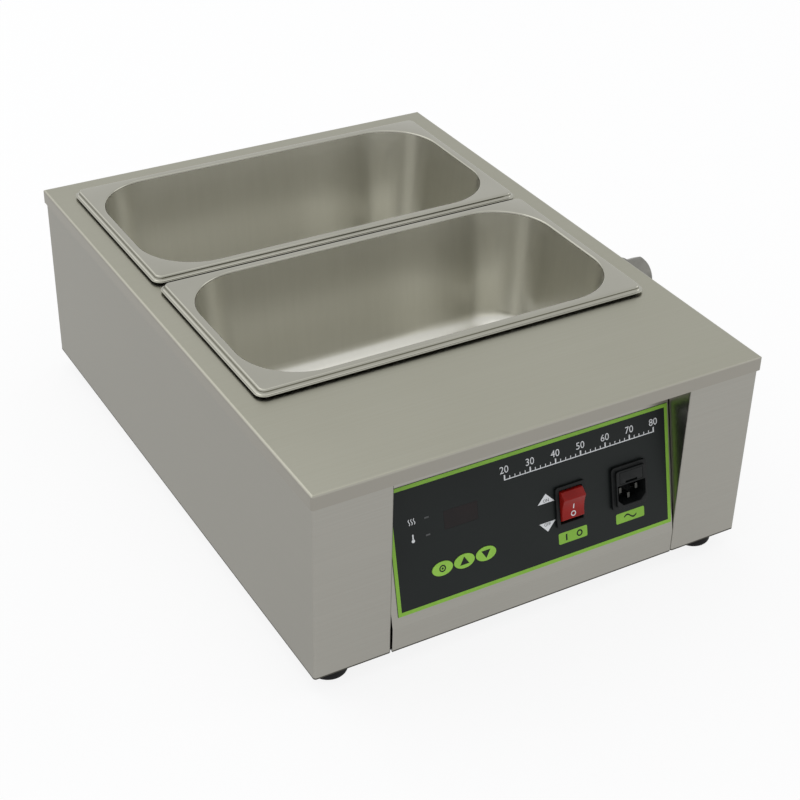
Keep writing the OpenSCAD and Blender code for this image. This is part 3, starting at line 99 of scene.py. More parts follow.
def linear(hex_colour):
    """Linear red, green, blue and a full alpha, by the two branches of the sRGB curve."""
    shares = [int(hex_colour[i:i + 2], 16) / 255 for i in (1, 3, 5)]
    return [s / 12.92 if s <= 0.04045 else ((s + 0.055) / 1.055) ** 2.4 for s in shares] + [1.0]


def add(tree, kind, values=(), links=(), **settings):
    node = tree.nodes.new(kind)
    for name, setting in settings.items():
        setattr(node, name, setting)
    for name, value in dict(values).items():
        node.inputs[name].default_value = value
    for name, socket in dict(links).items():
        tree.links.new(socket, node.inputs[name])
    return node


def start_material(name):
    made = bpy.data.materials.new(name)
    made.use_nodes = True
    tree = made.node_tree
    tree.nodes.clear()
    shader = add(tree, "ShaderNodeBsdfPrincipled")
    add(tree, "ShaderNodeOutputMaterial", links={"Surface": shader.outputs["BSDF"]})
    place = add(tree, "ShaderNodeTexCoord").outputs["Object"]
    return made, tree, shader, place


print("mid grey is", [round(s, 3) for s in linear("#808080")])

# %% [markdown]
# ## Floor and world
# The photograph has a plain white ground. More light would make the floor white too, but it
# would bleach the object. Instead the floor and the world show as white only to the camera and
# in reflections, by way of the Light Path node, and light the object at a moderate level. The
# floor keeps a small share of plain paper, which carries the shadow.

# %% Floor
FLOOR_M = 30
GROUND_WHITE = "#FFFFFF"
SHADOW_SHARE = 0.14

ground_mesh = bpy.data.meshes.new("floor")
half = FLOOR_M / 2
ground_mesh.from_pydata([(-half, -half, 0), (half, -half, 0), (half, half, 0), (-half, half, 0)],
                        [], [(0, 1, 2, 3)])
ground = bpy.data.objects.new("floor", ground_mesh)
scene.collection.objects.link(ground)


def seen_directly(tree):
    """1 for rays from the camera, from a mirror or through glass, 0 for the light on the object."""
    path = add(tree, "ShaderNodeLightPath")
    either = add(tree, "ShaderNodeMath", operation="MAXIMUM",
                 links={0: path.outputs["Is Camera Ray"], 1: path.outputs["Is Glossy Ray"]})
    return add(tree, "ShaderNodeMath", operation="MAXIMUM",
               links={0: either.outputs[0], 1: path.outputs["Is Transmission Ray"]}).outputs[0]


# Matt paper: an even white that takes a soft shadow
pale = bpy.data.materials.new("pale_paper_floor")
pale.use_nodes = True
tree = pale.node_tree
tree.nodes.clear()
paper = add(tree, "ShaderNodeBsdfDiffuse", values={"Color": linear(GROUND_WHITE)})
glow = add(tree, "ShaderNodeEmission", values={"Color": linear(GROUND_WHITE), "Strength": 1.0})
glow_share = add(tree, "ShaderNodeMath", operation="MULTIPLY", links={0: seen_directly(tree)},
                 values={1: 1 - SHADOW_SHARE})
ground_mix = add(tree, "ShaderNodeMixShader",
                 links={0: glow_share.outputs[0], 1: paper.outputs[0], 2: glow.outputs[0]})
add(tree, "ShaderNodeOutputMaterial", links={"Surface": ground_mix.outputs[0]})
ground_mesh.materials.append(pale)
print("floor of", FLOOR_M, "m with a share of", SHADOW_SHARE, "plain paper")

# %% World
SKY_WHITE = "#FBFCFF"
WORLD_LIGHT = 0.7
studio = bpy.data.worlds.new("studio")
studio.use_nodes = True
tree = studio.node_tree
tree.nodes.clear()
soft_sky = add(tree, "ShaderNodeBackground",
               values={"Color": linear(SKY_WHITE), "Strength": WORLD_LIGHT})
white_sky = add(tree, "ShaderNodeBackground",
                values={"Color": linear(GROUND_WHITE), "Strength": 1.0})
sky = add(tree, "ShaderNodeMixShader",
          links={0: seen_directly(tree), 1: soft_sky.outputs[0], 2: white_sky.outputs[0]})
add(tree, "ShaderNodeOutputWorld", links={"Surface": sky.outputs[0]})
scene.world = studio
scene.view_settings.view_transform = "Standard"
print("world lights the object at strength", WORLD_LIGHT)

# %% [markdown]
# ## Lamps
# Steel shows its surroundings, so a small strong lamp would burn a white spot into the pans.
# Three large weak softboxes stand overhead, at the back left and at the right. They add soft
# streaks in the pans and thin bright lines along the rims and folds.

# %% Lamps
# Each lamp: place in metres, width and height in metres, power in watts
LAMPS = {
    "overhead_softbox": ((-0.3, 0.5, 2.3), (2.6, 2.6), 10),
    "back_left_softbox": ((-0.95, 1.4, 1.8), (2.4, 2.4), 10),
    "right_softbox": ((2.2, -0.5, 1.2), (1.4, 1.4), 5),
}
for name, (place, size, power) in LAMPS.items():
    lamp = bpy.data.lights.new(name, "AREA")
    lamp.shape = "RECTANGLE"
    lamp.size, lamp.size_y = size
    lamp.energy = power
    holder = bpy.data.objects.new(name, lamp)
    holder.matrix_world = (Matrix.Translation(place)
                           @ Vector(place).to_track_quat("Z", "Y").to_matrix().to_4x4())
    scene.collection.objects.link(holder)
print("lamps", list(LAMPS))

# %% [markdown]
# ## Stainless steel
# The casing is rolled 304 sheet with a fine brushed finish, and the pans are drawn from bright
# annealed sheet. Both are the same metal: a warm grey mirror that is broken up by scratches. A
# picture of steel could be laid on, but it would not fit other light. So one recipe makes every
# metal. Brushing leaves long lines one way: a noise is stretched along the line and narrow
# across it. Real lines are a tenth of a millimetre wide. Here they are drawn coarser, or they
# would not show. A second, wide noise stands for the clouds that rolling and wiping leave.

# %% Colour and roughness from one noise
NOISE_LOW, NOISE_HIGH = 0.3, 0.7


def varied(tree, drive, colours, rough):
    """Colour and roughness that both follow one noise, whose values mostly lie from low to high."""
    tint = add(tree, "ShaderNodeValToRGB", links={"Fac": drive})
    for stop, position, colour in zip(tint.color_ramp.elements, (NOISE_LOW, NOISE_HIGH), colours):
        stop.position = position
        stop.color = linear(colour)
    dull = add(tree, "ShaderNodeMapRange", links={"Value": drive},
               values={"From Min": NOISE_LOW, "From Max": NOISE_HIGH,
                       "To Min": rough[0], "To Max": rough[1]})
    return tint.outputs["Color"], dull.outputs["Result"]


print("noise is read from", NOISE_LOW, "to", NOISE_HIGH)

# %% Colour by height


def edged(tree, place, colour, low_mm, high_mm, stops):
    """Lays stops of (share of the way from low to high, colour, cover) over a colour."""
    height = add(tree, "ShaderNodeSeparateXYZ", links={"Vector": place}).outputs["Z"]
    rise = add(tree, "ShaderNodeMapRange", links={"Value": height},
               values={"From Min": low_mm * MM, "From Max": high_mm * MM}).outputs["Result"]
    ramp = add(tree, "ShaderNodeValToRGB", links={"Fac": rise})
    elements = ramp.color_ramp.elements
    while len(elements) < len(stops):
        elements.new(1.0)
    for stop, (share, shade, cover) in zip(elements, stops):
        stop.position = share
        stop.color = linear(shade)[:3] + [cover]
    # A Mix node has sockets for each kind of data under the same names, so colours go by number
    share_in, under_in, over_in, colour_out = 0, 6, 7, 2
    mixed = add(tree, "ShaderNodeMix", data_type="RGBA",
                links={share_in: ramp.outputs["Alpha"], under_in: colour,
                       over_in: ramp.outputs["Color"]})
    return mixed.outputs[colour_out]


print("colour by height ready")

# %% Recipe for metals
CLOUD_SHARE = 0.4
LINE_STRENGTH = 0.5
UM = MM * MM


def steel(name, colours, line_mm, cloud_mm, rough, bump_um, grazing="#FFFFFF", edge=None):
    made, tree, shader, place = start_material(name)
    stretched = add(tree, "ShaderNodeMapping", links={"Vector": place},
                    values={"Scale": [1 / (size * MM) for size in line_mm]})
    lines = add(tree, "ShaderNodeTexNoise", links={"Vector": stretched.outputs["Vector"]},
                values={"Scale": 1.0, "Detail": 4.0, "Roughness": 0.6})
    clouds = add(tree, "ShaderNodeTexNoise", links={"Vector": place},
                 values={"Scale": 1 / (cloud_mm * MM), "Detail": 2.0})
    both = add(tree, "ShaderNodeMix", data_type="FLOAT", values={"Factor": CLOUD_SHARE},
               links={"A": lines.outputs["Fac"], "B": clouds.outputs["Fac"]})
    colour, dull = varied(tree, both.outputs["Result"], colours, rough)
    # Bands of painted highlight and painted shade, laid on by height
    if edge:
        colour = edged(tree, place, colour, *edge)
    ridges = add(tree, "ShaderNodeBump", links={"Height": lines.outputs["Fac"]},
                 values={"Strength": LINE_STRENGTH, "Distance": bump_um * UM})
    tree.links.new(colour, shader.inputs["Base Color"])
    tree.links.new(dull, shader.inputs["Roughness"])
    tree.links.new(ridges.outputs["Normal"], shader.inputs["Normal"])
    shader.inputs["Metallic"].default_value = 1.0
    shader.inputs["Specular Tint"].default_value = linear(grazing)
    return made


print("recipe for metals ready")

# %% [markdown]
# ## Casing and pans
# Where the cover is folded down, a thin line of painted highlight follows the fold, and the lip
# under it is painted a shade darker. The walls end in a cut edge, and a thin dark line of painted
# shade runs along it. Both could be extra strips of mesh. A colour that follows the height does
# the same and leaves the solids alone.

# %% Steel of casing and pans
# Length and width of a brushed line in millimetres; nine times the real width, so that it shows
LONG, FINE = 160, 0.9
# Heights and widths in millimetres
FOOT_Z, DECK_Z = 15, 169
# The first is the height of the line of painted shade at the foot of the walls
SHADE_LINE_H, FOLD_R = 1.3, 2
# Painted colours: the lip a shade darker, a highlight along the fold, and shade in a thin line at the
# foot of the walls
LIP_PAINTED_DARKER, PAINTED_FOLD_HIGHLIGHT, PAINTED_SHADE_TONE = "#96938B", "#A19F95", "#4A4843"
# Bands by height: the painted lip and fold highlight on the cover, the painted shade line on the walls
FOLD = (DECK_Z - FOLD_R, DECK_Z,
        [(0.0, LIP_PAINTED_DARKER, 1), (0.4, LIP_PAINTED_DARKER, 1), (0.52, PAINTED_FOLD_HIGHLIGHT, 1), (0.78, PAINTED_FOLD_HIGHLIGHT, 1),
         (0.93, PAINTED_FOLD_HIGHLIGHT, 0)])
PAINTED_SHADE_LINE = (FOOT_Z, FOOT_Z + SHADE_LINE_H, [(0.0, PAINTED_SHADE_TONE, 1), (0.75, PAINTED_SHADE_TONE, 1), (1.0, PAINTED_SHADE_TONE, 0)])

# Each metal: name, two colours, size of a line along X, Y and Z and of a cloud in millimetres,
# least and most roughness, height of the ridges in micrometres

# Belt-brushed across the deck: a satin warm grey with long fine lines and no clear reflection
# Its colour carries the painted highlight along the fold and the lip painted darker
deck_steel = steel("brushed_steel_deck", ("#99988B", "#9F9E92"), (LONG, FINE, FINE), 140,
                   (0.28, 0.34), 9, "#EEEEEC", FOLD)
# The same sheet with the lines lying level on the walls: a cooler, even grey
# Its colour carries a thin line of painted shade along the foot
wall_steel = steel("brushed_steel_walls", ("#9A9891", "#A09E97"), (LONG, LONG, FINE), 150,
                   (0.28, 0.34), 9, "#DEDEDC", PAINTED_SHADE_LINE)
# Deep drawing smooths the sheet: soft streaks in the corners, faint marks up the walls
# Its colour is painted far lighter than the rim's, though rim and inside are one sheet: painted light
# for the deep inside of the pan
pan_steel_painted_lighter = steel("drawn_steel_pans_painted_lighter", ("#C8C7BF", "#CDCCC4"), (6, 6, 120), 90,
                  (0.277, 0.297), 1)
# Rims are pressed between polished tools: nearly a mirror, with bright lines on the steps
rim_steel = steel("polished_steel_rims", ("#9B9A90", "#A3A298"), (60, 60, 60), 90,
                  (0.07, 0.13), 1)
print("casing and pans:", [m.name for m in (deck_steel, wall_steel, pan_steel_painted_lighter, rim_steel)])

# %% [markdown]
# ## Other metals
# The tank, the base, the valve, the screws and the parts inside are other metals or the same
# steel in a rougher state. Each could have its own node tree. The recipe above serves for all of
# them with other colours, other line sizes in millimetres and another roughness.

# %% Other metals
# Unpolished from the mill: dull grey with marks down the walls
tank_steel = steel("mill_steel_tank", ("#8E8D86", "#9A9992"), (4, 4, 40), 60, (0.34, 0.44), 12)
# Hot-dip zinc: cold grey in patches of a centimetre
base_steel = steel("galvanised_base_sheet", ("#8A8D8E", "#A2A5A6"), (9, 12, 9), 25,
                   (0.4, 0.55), 6)
# Investment castings: dark, matt and slightly grainy
valve_steel = steel("cast_steel_valve", ("#72716C", "#807F7A"), (0.8, 0.8, 0.8), 12,
                    (0.34, 0.46), 40)
# Barrel-plated nickel: bright, with tumbled scratches
screw_steel = steel("nickelled_screw_steel", ("#A9A9A5", "#B9B9B5"), (0.5, 0.5, 0.5), 8,
                    (0.22, 0.32), 10)
# Steel tube browned by heat: dark and dull, with lines along the tube
sheath_steel = steel("dark_element_sheath", ("#56544F", "#6B6861"), (1.5, 30, 1.5), 20,
                     (0.4, 0.55), 20)
# Tinned contacts: dull dark grey, darker than bare tin
pin_tin = steel("dull_tinned_pins", ("#4A4A47", "#565653"), (0.5, 0.5, 4), 6, (0.36, 0.46), 8)
# Turned on a lathe: yellow metal with fine tool marks
brass = steel("turned_brass", ("#B08D3E", "#C4A24E"), (0.6, 0.6, 0.6), 10, (0.25, 0.36), 10)
# A stack of varnished sheets: dark, with the edges of half-millimetre plates
core_iron = steel("laminated_core_iron", ("#4E4B48", "#696560"), (0.5, 20, 20), 10,
                  (0.45, 0.6), 80)
print("other metals:", [m.name for m in (tank_steel, base_steel, valve_steel, screw_steel,
                                         sheath_steel, pin_tin, brass, core_iron)])

# %% [markdown]
# ## Plastics, rubber and film
# Moulded plastic is never quite even: the tool leaves a fine spark-eroded grain, and colour and
# gloss drift a little over a part. A flat colour would look like paint. One recipe mixes a fine
# grain for the bump with a wide noise for colour and gloss. The grain of real tools is about a
# tenth of a millimetre, and is drawn coarser here so that it shows.

# %% Recipe for plastics
GRAIN_STRENGTH = 0.6
COAT_ROUGH = 0.08


def moulded(name, colours, grain_mm, drift_mm, rough, bump_um, coat=0.0, ior=1.5, gloss=0.5):
    made, tree, shader, place = start_material(name)
    grain = add(tree, "ShaderNodeTexNoise", links={"Vector": place},
                values={"Scale": 1 / (grain_mm * MM), "Detail": 3.0})
    drift = add(tree, "ShaderNodeTexNoise", links={"Vector": place},
                values={"Scale": 1 / (drift_mm * MM), "Detail": 2.0})
    colour, dull = varied(tree, drift.outputs["Fac"], colours, rough)
    bumps = add(tree, "ShaderNodeBump", links={"Height": grain.outputs["Fac"]},
                values={"Strength": GRAIN_STRENGTH, "Distance": bump_um * UM})
    tree.links.new(colour, shader.inputs["Base Color"])
    tree.links.new(dull, shader.inputs["Roughness"])
    tree.links.new(bumps.outputs["Normal"], shader.inputs["Normal"])
    shader.inputs["IOR"].default_value = ior
    shader.inputs["Specular IOR Level"].default_value = gloss
    shader.inputs["Coat Weight"].default_value = coat
    shader.inputs["Coat Roughness"].default_value = COAT_ROUGH
    return made


print("recipe for plastics ready")

# %% [markdown]
# ## Control face
# The face is a textured polyester film, screen-printed with inks that lie flat and matt. The
# window and the two light pipes are clear mouldings that look dark while nothing glows. They
# could be made as glass, but with a dark board close behind them a dark gloss is enough.

# %% Films, inks and windows
# Each plastic: name, two colours, size of the grain and of the drift in millimetres, least and
# most roughness, height of the grain in micrometres

# Polyester film with a fine matt texture: deep grey green, nearly black
overlay_film = moulded("printed_polyester_film", ("#151A19", "#1A1F1E"), 0.8, 60, (0.4, 0.48), 10,
                       gloss=0.2)
# Screen inks: flat and even, with a soft edge of gloss
green_ink = moulded("green_screen_ink", ("#86B840", "#8EC048"), 0.6, 20, (0.42, 0.5), 6, gloss=0.25)
white_ink = moulded("white_screen_ink", ("#DADCDD", "#E6E8E9"), 0.6, 20, (0.42, 0.52), 6,
                    gloss=0.25)
black_ink = moulded("black_screen_ink", ("#141A16", "#1A201C"), 0.6, 20, (0.42, 0.52), 6, gloss=0.2)
# Domed film over a key: the same green, a little lighter where the dome lifts it
key_film = moulded("green_key_film", ("#93C74A", "#9BCF52"), 0.6, 12, (0.4, 0.48), 8, gloss=0.25)
# Smoked acrylic: almost black with a breath of red
smoked_window = moulded("smoked_red_acrylic", ("#1A1616", "#201919"), 2.0, 15, (0.34, 0.44), 3,
                        ior=1.49, gloss=0.2)
# Milky polycarbonate, unlit: a small grey bar
light_pipe = moulded("milky_polycarbonate", ("#474949", "#535555"), 0.8, 3, (0.34, 0.44), 5,
                     ior=1.58, gloss=0.3)
print("control face:", [m.name for m in (overlay_film, green_ink, white_ink, black_ink, key_film,
                                         smoked_window, light_pipe)])

# %% [markdown]
# ## Moulded parts
# The switch, the inlet and the feet show from outside, and the board with its parts lies inside.
# The inner parts could be left plain, but the pans lift out and other readers may open the
# casing, so they get the same care.

# %% Plastics, rubber and ceramic
# Glass-filled nylon from a sparked tool: black and matt
black_plastic = moulded("black_moulded_nylon", ("#0C0E0E", "#121515"), 0.5, 12, (0.44, 0.56), 16,
                        ior=1.53, gloss=0.2)
# Tinted polycarbonate: deep red with a smooth face
red_plastic = moulded("red_polycarbonate_rocker", ("#8A140F", "#981B14"), 0.7, 9, (0.3, 0.4), 5,
                      ior=1.58, gloss=0.15)
# Vulcanised rubber: black, without shine
rubber = moulded("black_rubber", ("#0D0D0D", "#161616"), 0.7, 9, (0.62, 0.75), 30, ior=1.52,
                 gloss=0.2)
# Glass laminate under solder mask: green with a clear gloss
board_laminate = moulded("green_board_laminate", ("#1F5A34", "#2A6A3E"), 0.4, 8, (0.35, 0.5), 12,
                         coat=0.3)
# Polyester cases: blue and satin, and green and satin
relay_plastic = moulded("blue_relay_case", ("#1C4E9A", "#235AA8"), 0.5, 8, (0.35, 0.48), 10)
terminal_plastic = moulded("green_terminal_nylon", ("#2E7D46", "#378B50"), 0.5, 8, (0.4, 0.52), 12)
# Unglazed steatite: ivory and chalky
ceramic = moulded("ivory_steatite", ("#D8D0BC", "#E4DDCB"), 0.5, 6, (0.5, 0.62), 14)
# Sintered fluoropolymer: white and waxy
seat_plastic = moulded("white_ptfe", ("#E6E6E2", "#F0F0EC"), 0.5, 8, (0.45, 0.55), 5, ior=1.35)
# Silicone insulation: satin, in the usual colours of wires
WIRE_COLOURS = {"brown_insulation": ("#5A3420", "#66402A"), "black_insulation": ("#1B1B1B", "#242424"),
                "white_insulation": ("#D6D6D0", "#E2E2DC"), "earth_insulation": ("#8FA62A", "#A0B834")}
insulation = {name: moulded(name, colours, 0.6, 10, (0.4, 0.5), 8)
              for name, colours in WIRE_COLOURS.items()}
print("moulded parts:", len(insulation), "kinds of wire and",
      [m.name for m in (black_plastic, red_plastic, rubber, board_laminate, relay_plastic,
                        terminal_plastic, ceramic, seat_plastic)])

# %% [markdown]
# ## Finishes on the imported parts
# Most parts keep their solid and only change their finish. Each could be picked and given its
# material by hand. A table says at a glance which part is made of what, and one loop puts each
# material into the part's own slot.

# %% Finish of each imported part
FINISHES = {
    deck_steel: ["top_cover"],
    wall_steel: ["left_side_panel", "right_side_panel", "rear_panel", "control_plate"],
    pan_steel_painted_lighter: ["front_pan", "rear_pan"],
    tank_steel: ["water_tank"],
    base_steel: ["base_plate"],
    valve_steel: ["drain_pipe", "valve_body", "valve_end", "valve_ball", "valve_stem",
                  "packing_nut", "valve_handle"],
    screw_steel: ["casing_screws", "foot_screws", "foot_nuts", "board_screws", "handle_nut",
                  "thermostat_studs", "fuse", "temperature_probe"],
    pin_tin: ["inlet_pins"],
    sheath_steel: ["heating_element"],
    brass: ["element_glands", "element_nuts", "probe_gland", "earth_stud", "switch_terminals",
            "board_standoffs"],
    core_iron: ["transformer"],
    overlay_film: ["overlay"],
    key_film: ["set_key", "up_key", "down_key"],
    smoked_window: ["display_window"],
    light_pipe: ["indicator_lights"],
    black_plastic: ["switch_housing", "inlet_body", "fuse_drawer", "display_module", "key_switches"],
    red_plastic: ["rocker"],
    rubber: ["front_left_foot", "front_right_foot", "rear_left_foot", "rear_right_foot",
             "drain_grommet"],
    board_laminate: ["control_board"],
    relay_plastic: ["power_relay"],
    terminal_plastic: ["terminal_block"],
    ceramic: ["limit_thermostat"],
    seat_plastic: ["valve_seats"],
    insulation["brown_insulation"]: ["mains_wires"],
    insulation["black_insulation"]: ["heater_wires"],
    insulation["white_insulation"]: ["probe_wire"],
    insulation["earth_insulation"]: ["earth_wire"],
}
for finish, names in FINISHES.items():
    for name in names:
        mesh = nodes[name].data
        mesh.materials.clear()
        mesh.materials.append(finish)
dressed = [name for names in FINISHES.values() for name in names]
print("dressed", len(dressed), "of", len(nodes), "parts; bare:", sorted(set(nodes) - set(dressed)))

# %% [markdown]
# ## Section of a pan
# A gastronorm pan is drawn from one sheet: a flat floor, a wide fillet, drafted walls, a rolled
# mouth, and a flat rim whose edge steps down to a narrow lip. In the photograph the steps show
# as bright lines, because their edges are round. A bevel on the solid could round them, but it
# would not follow the step from a wide to a narrow corner. So the section is written as rows,
# from the floor up the inside, over the rim, and down the outside.

# %% Pan section
# Sizes in millimetres
PAN_T = 0.8
MOUTH_R = 48
FLOOR_R, FLOOR_INSET = 14, 6
DEPTH = 100
DRAFT_DEG = 5
RIM_FLAT, ROLL_R = 6, 1.5
ROLL_FROM_DEG = 177
RIM_DROP, LIP_W = 4.4, 3
SKIRT_R = 5
EDGE_R, CREASE_R, LIP_EDGE_R = 1.5, 1.9, 0.35
FILLET_STEPS, ROLL_STEPS, EDGE_STEPS, CREASE_STEPS = 14, 8, 6, 4
# Numbers of the two material slots of a pan
INSIDE, RIM = 0, 1


def arc(centre, radius, start, end, steps):
    return [(centre[0] + radius * math.cos(math.radians(start + (end - start) * i / steps)),
             centre[1] + radius * math.sin(math.radians(start + (end - start) * i / steps)))
            for i in range(steps + 1)]


def pan_section():
    """Rows of (step outwards from the mouth's edge, height, corner radius, finish), inside first."""
    walls = []
    for grow in (0, PAN_T):
        bend_z = -(DEPTH - FLOOR_R)
        foot = grow + bend_z * math.tan(math.radians(DRAFT_DEG))
        corner = FLOOR_R + grow
        floor = [(foot - corner - FLOOR_INSET, -DEPTH - grow)]
        fillet = arc((foot - corner, bend_z), corner, 270, 360 - DRAFT_DEG, FILLET_STEPS)
        wall_top, *over_the_roll = arc((ROLL_R, -ROLL_R), ROLL_R - grow, ROLL_FROM_DEG, 90, ROLL_STEPS)
        walls.append([(step, z, MOUTH_R + step, INSIDE) for step, z in floor + fillet + [wall_top]]
                     + [(step, z, MOUTH_R + step, RIM) for step, z in over_the_roll])
    inner, outer = walls
    edge, step_z = RIM_FLAT + PAN_T, PAN_T - RIM_DROP
    tip = edge + LIP_W
    outline = arc((edge - EDGE_R, -EDGE_R), EDGE_R, 90, 0, EDGE_STEPS)
    outline += arc((edge + CREASE_R, step_z + CREASE_R), CREASE_R, 180, 270, CREASE_STEPS)
    outline += arc((tip - LIP_EDGE_R, step_z - LIP_EDGE_R), LIP_EDGE_R, 90, -90, EDGE_STEPS)
    rim = [(step, z, SKIRT_R + step - edge, RIM) for step, z in outline]
    under = [(edge - PAN_T, z, SKIRT_R - PAN_T, RIM) for z in (-RIM_DROP, -PAN_T)]
    return inner + rim + under + list(reversed(outer))


print("pan section of", len(pan_section()), "rows")

# %% [markdown]
# ## Pans
# On the real pan one sheet is drawn into shape. A Solidify modifier could give such a sheet its
# thickness, but the corners grow from the floor to the rim at their own rate. So each row of the
# section becomes a rounded rectangle at its height, and a skin joins the rectangles. Inside and
# rim have different finishes, so each band of the skin keeps its own.

# %% Loops and skin
CORNER_STEPS = 28
LOOP_MERGE_M = 1e-7


def rounded_loop(half_l, half_w, radius):
    points = []
    for sx, sy, start in ((1, 1, 0), (-1, 1, 90), (-1, -1, 180), (1, -1, 270)):
        for step in range(CORNER_STEPS + 1):
            a = math.radians(start + 90 * step / CORNER_STEPS)
            points.append((sx * (half_l - radius) + radius * math.cos(a),
                           sy * (half_w - radius) + radius * math.sin(a)))
    return points


def skin(loops, finishes):
    """Joins each loop to the next; a band has the finish of its second loop."""
    bm = bmesh.new()
    rings = [[bm.verts.new(point) for point in loop] for loop in loops]
    count = len(rings[0])
    for lower, upper, finish in zip(rings, rings[1:], finishes[1:]):
        for i in range(count):
            j = (i + 1) % count
            bm.faces.new((lower[i], lower[j], upper[j], upper[i])).material_index = finish
    bm.faces.new(list(reversed(rings[0])))
    bm.faces.new(rings[-1])
    bmesh.ops.remove_doubles(bm, verts=bm.verts, dist=LOOP_MERGE_M)
    bmesh.ops.recalc_face_normals(bm, faces=bm.faces)
    return bm


print("a loop has", len(rounded_loop(3, 2, 1)), "points")

# %% Pan meshes
PAN_SMOOTH_DEG = 60


def finish_piece(name, bm, finish, body, stands_for=(), smooth_deg=40):
    """Every new piece ends here: a mesh with its finish, its body and what it stands for."""
    mesh = bpy.data.meshes.new(name)
    bm.to_mesh(mesh)
    bm.free()
    mesh.materials.append(finish)
    mesh.shade_smooth()
    mesh.set_sharp_from_angle(angle=math.radians(smooth_deg))
    piece = bpy.data.objects.new(name, mesh)
    scene.collection.objects.link(piece)
    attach(piece, body)
    if stands_for:
        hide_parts(*stands_for)
    return piece


# A pan's node and its body have the same name
for node in ("front_pan", "rear_pan"):
    low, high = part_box(node)
    middle = (low + high) / 2
    edge_room = (RIM_FLAT + PAN_T + LIP_W) * MM
    half_l, half_w = (high.x - low.x) / 2 - edge_room, (high.y - low.y) / 2 - edge_room
    rows = pan_section()
    loops = [[(middle.x + x, middle.y + y, high.z + z * MM)
              for x, y in rounded_loop(half_l + step * MM, half_w + step * MM, radius * MM)]
             for step, z, radius, finish in rows]
    bands = skin(loops, [row[3] for row in rows])
    pan = finish_piece(node.replace("pan", "drawn_pan"), bands, pan_steel_painted_lighter, node, [node],
                       PAN_SMOOTH_DEG)
    pan.data.materials.append(rim_steel)
    print(pan.name, len(pan.data.polygons), "faces")

# %% [markdown]
# ## Softened edges of moulded pieces
# A sharp edge catches no light. The switch, the inlet, the fuse drawer and the valve's end and
# handle are moulded or cast, with edges rounded by a few tenths of a millimetre. They could be
# modelled again with round edges. It is shorter to copy their solids, merge the triangles back
# to whole faces, and let a bevel round the edges.

# %% Bevelled copies
COPY_MERGE_M = 1e-6
FLAT_DEG, BEVEL_FROM_DEG, SOFT_SMOOTH_DEG = 0.5, 32, 35
BEVEL_STEPS = 3


def softened(node, radius_mm, finish, body):
    bm = bmesh.new()
    bm.from_mesh(nodes[node].data)
    bmesh.ops.remove_doubles(bm, verts=bm.verts, dist=COPY_MERGE_M)
    bmesh.ops.dissolve_limit(bm, angle_limit=math.radians(FLAT_DEG), verts=bm.verts, edges=bm.edges)
    mesh = bpy.data.meshes.new(node)
    bm.to_mesh(mesh)
    bm.free()
    blank = bpy.data.objects.new(node, mesh)
    scene.collection.objects.link(blank)
    bevel = blank.modifiers.new("soft_edges", "BEVEL")
    bevel.width = radius_mm * MM
    bevel.segments = BEVEL_STEPS
    bevel.limit_method = "ANGLE"
    bevel.angle_limit = math.radians(BEVEL_FROM_DEG)
    bevel.harden_normals = False
    evaluated = blank.evaluated_get(bpy.context.evaluated_depsgraph_get())
    bm = bmesh.new()
    bm.from_mesh(evaluated.to_mesh())
    bpy.data.objects.remove(blank)
    return finish_piece("soft_" + node, bm, finish, body, [node], SOFT_SMOOTH_DEG)


# Each piece: node, edge radius in millimetres, finish, body, slot
for node, radius, finish, body, slot in (
        ("switch_housing", 0.5, black_plastic, "casing", "black_plastic"),
        ("rocker", 0.45, red_plastic, "rocker", "rocker_red"),
        ("inlet_body", 0.45, black_plastic, "casing", "black_plastic"),
        ("fuse_drawer", 0.3, black_plastic, "fuse_holder", "black_plastic"),
        ("valve_end", 0.8, valve_steel, "casing", "valve_steel"),
        ("valve_handle", 0.6, valve_steel, "valve_lever", "valve_steel")):
    piece = softened(node, radius, finish, body)
    print(piece.name, len(piece.data.polygons), "faces")

# %% [markdown]
# ## Plane of the control face
# The face carries a screen-printed film: a green frame round a black field, two green tags, two
# white pointers beside the switch, and a row of signs. A picture could hold all of them, but it
# would blur from near by. Each print is a very thin plate that lies on the film. A plane of
# reference with its X to the right and its Y up the leaning face places them in millimetres.

# %% Plane of the leaning face
# Height of the upright strip under the leaning part, and thickness of film and ink, in millimetres
STRIP_H = 20
FILM_T, INK_T = 0.5, 0.06
LEAN = math.radians(13)
plate_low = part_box("control_plate")[0]
face = Matrix.Translation((0, plate_low.y, plate_low.z + STRIP_H * MM)) @ Matrix((
    (1, 0, 0, 0),
    (0, math.sin(LEAN), -math.cos(LEAN), 0),
    (0, math.cos(LEAN), math.sin(LEAN), 0),
    (0, 0, 0, 1)))


def on_face(u, v, w):
    return face @ (Vector((u, v, w)) * MM)


def on_film(u, v, w):
    return on_face(u, v, FILM_T + w)


def plate_of(outlines, place, thick):
    """Thin plates from outlines in millimetres; place turns (u, v, w) into a point."""
    bm = bmesh.new()
    for outline in outlines:
        rows = [[bm.verts.new(place(u, v, w)) for u, v in outline] for w in (0.0, thick)]
        bm.faces.new(rows[1])
        bm.faces.new(list(reversed(rows[0])))
        count = len(outline)
        for i in range(count):
            j = (i + 1) % count
            bm.faces.new((rows[0][i], rows[0][j], rows[1][j], rows[1][i]))
    bmesh.ops.recalc_face_normals(bm, faces=bm.faces)
    return bm


print("face leans", round(math.degrees(LEAN)), "degrees from", [round(c, 4) for c in on_face(0, 0, 0)])

# %% [markdown]
# ## Outlines
# All prints are made of a few plain outlines: a box, a disc, a ring and a wave. They could be
# drawn as curves, but points in a list are easier to place and to check.

# %% Outlines of prints
ROUND_STEPS, WAVE_STEPS = 28, 14


def box_outline(u, v, w, h):
    return [(u - w / 2, v - h / 2), (u + w / 2, v - h / 2),
            (u + w / 2, v + h / 2), (u - w / 2, v + h / 2)]


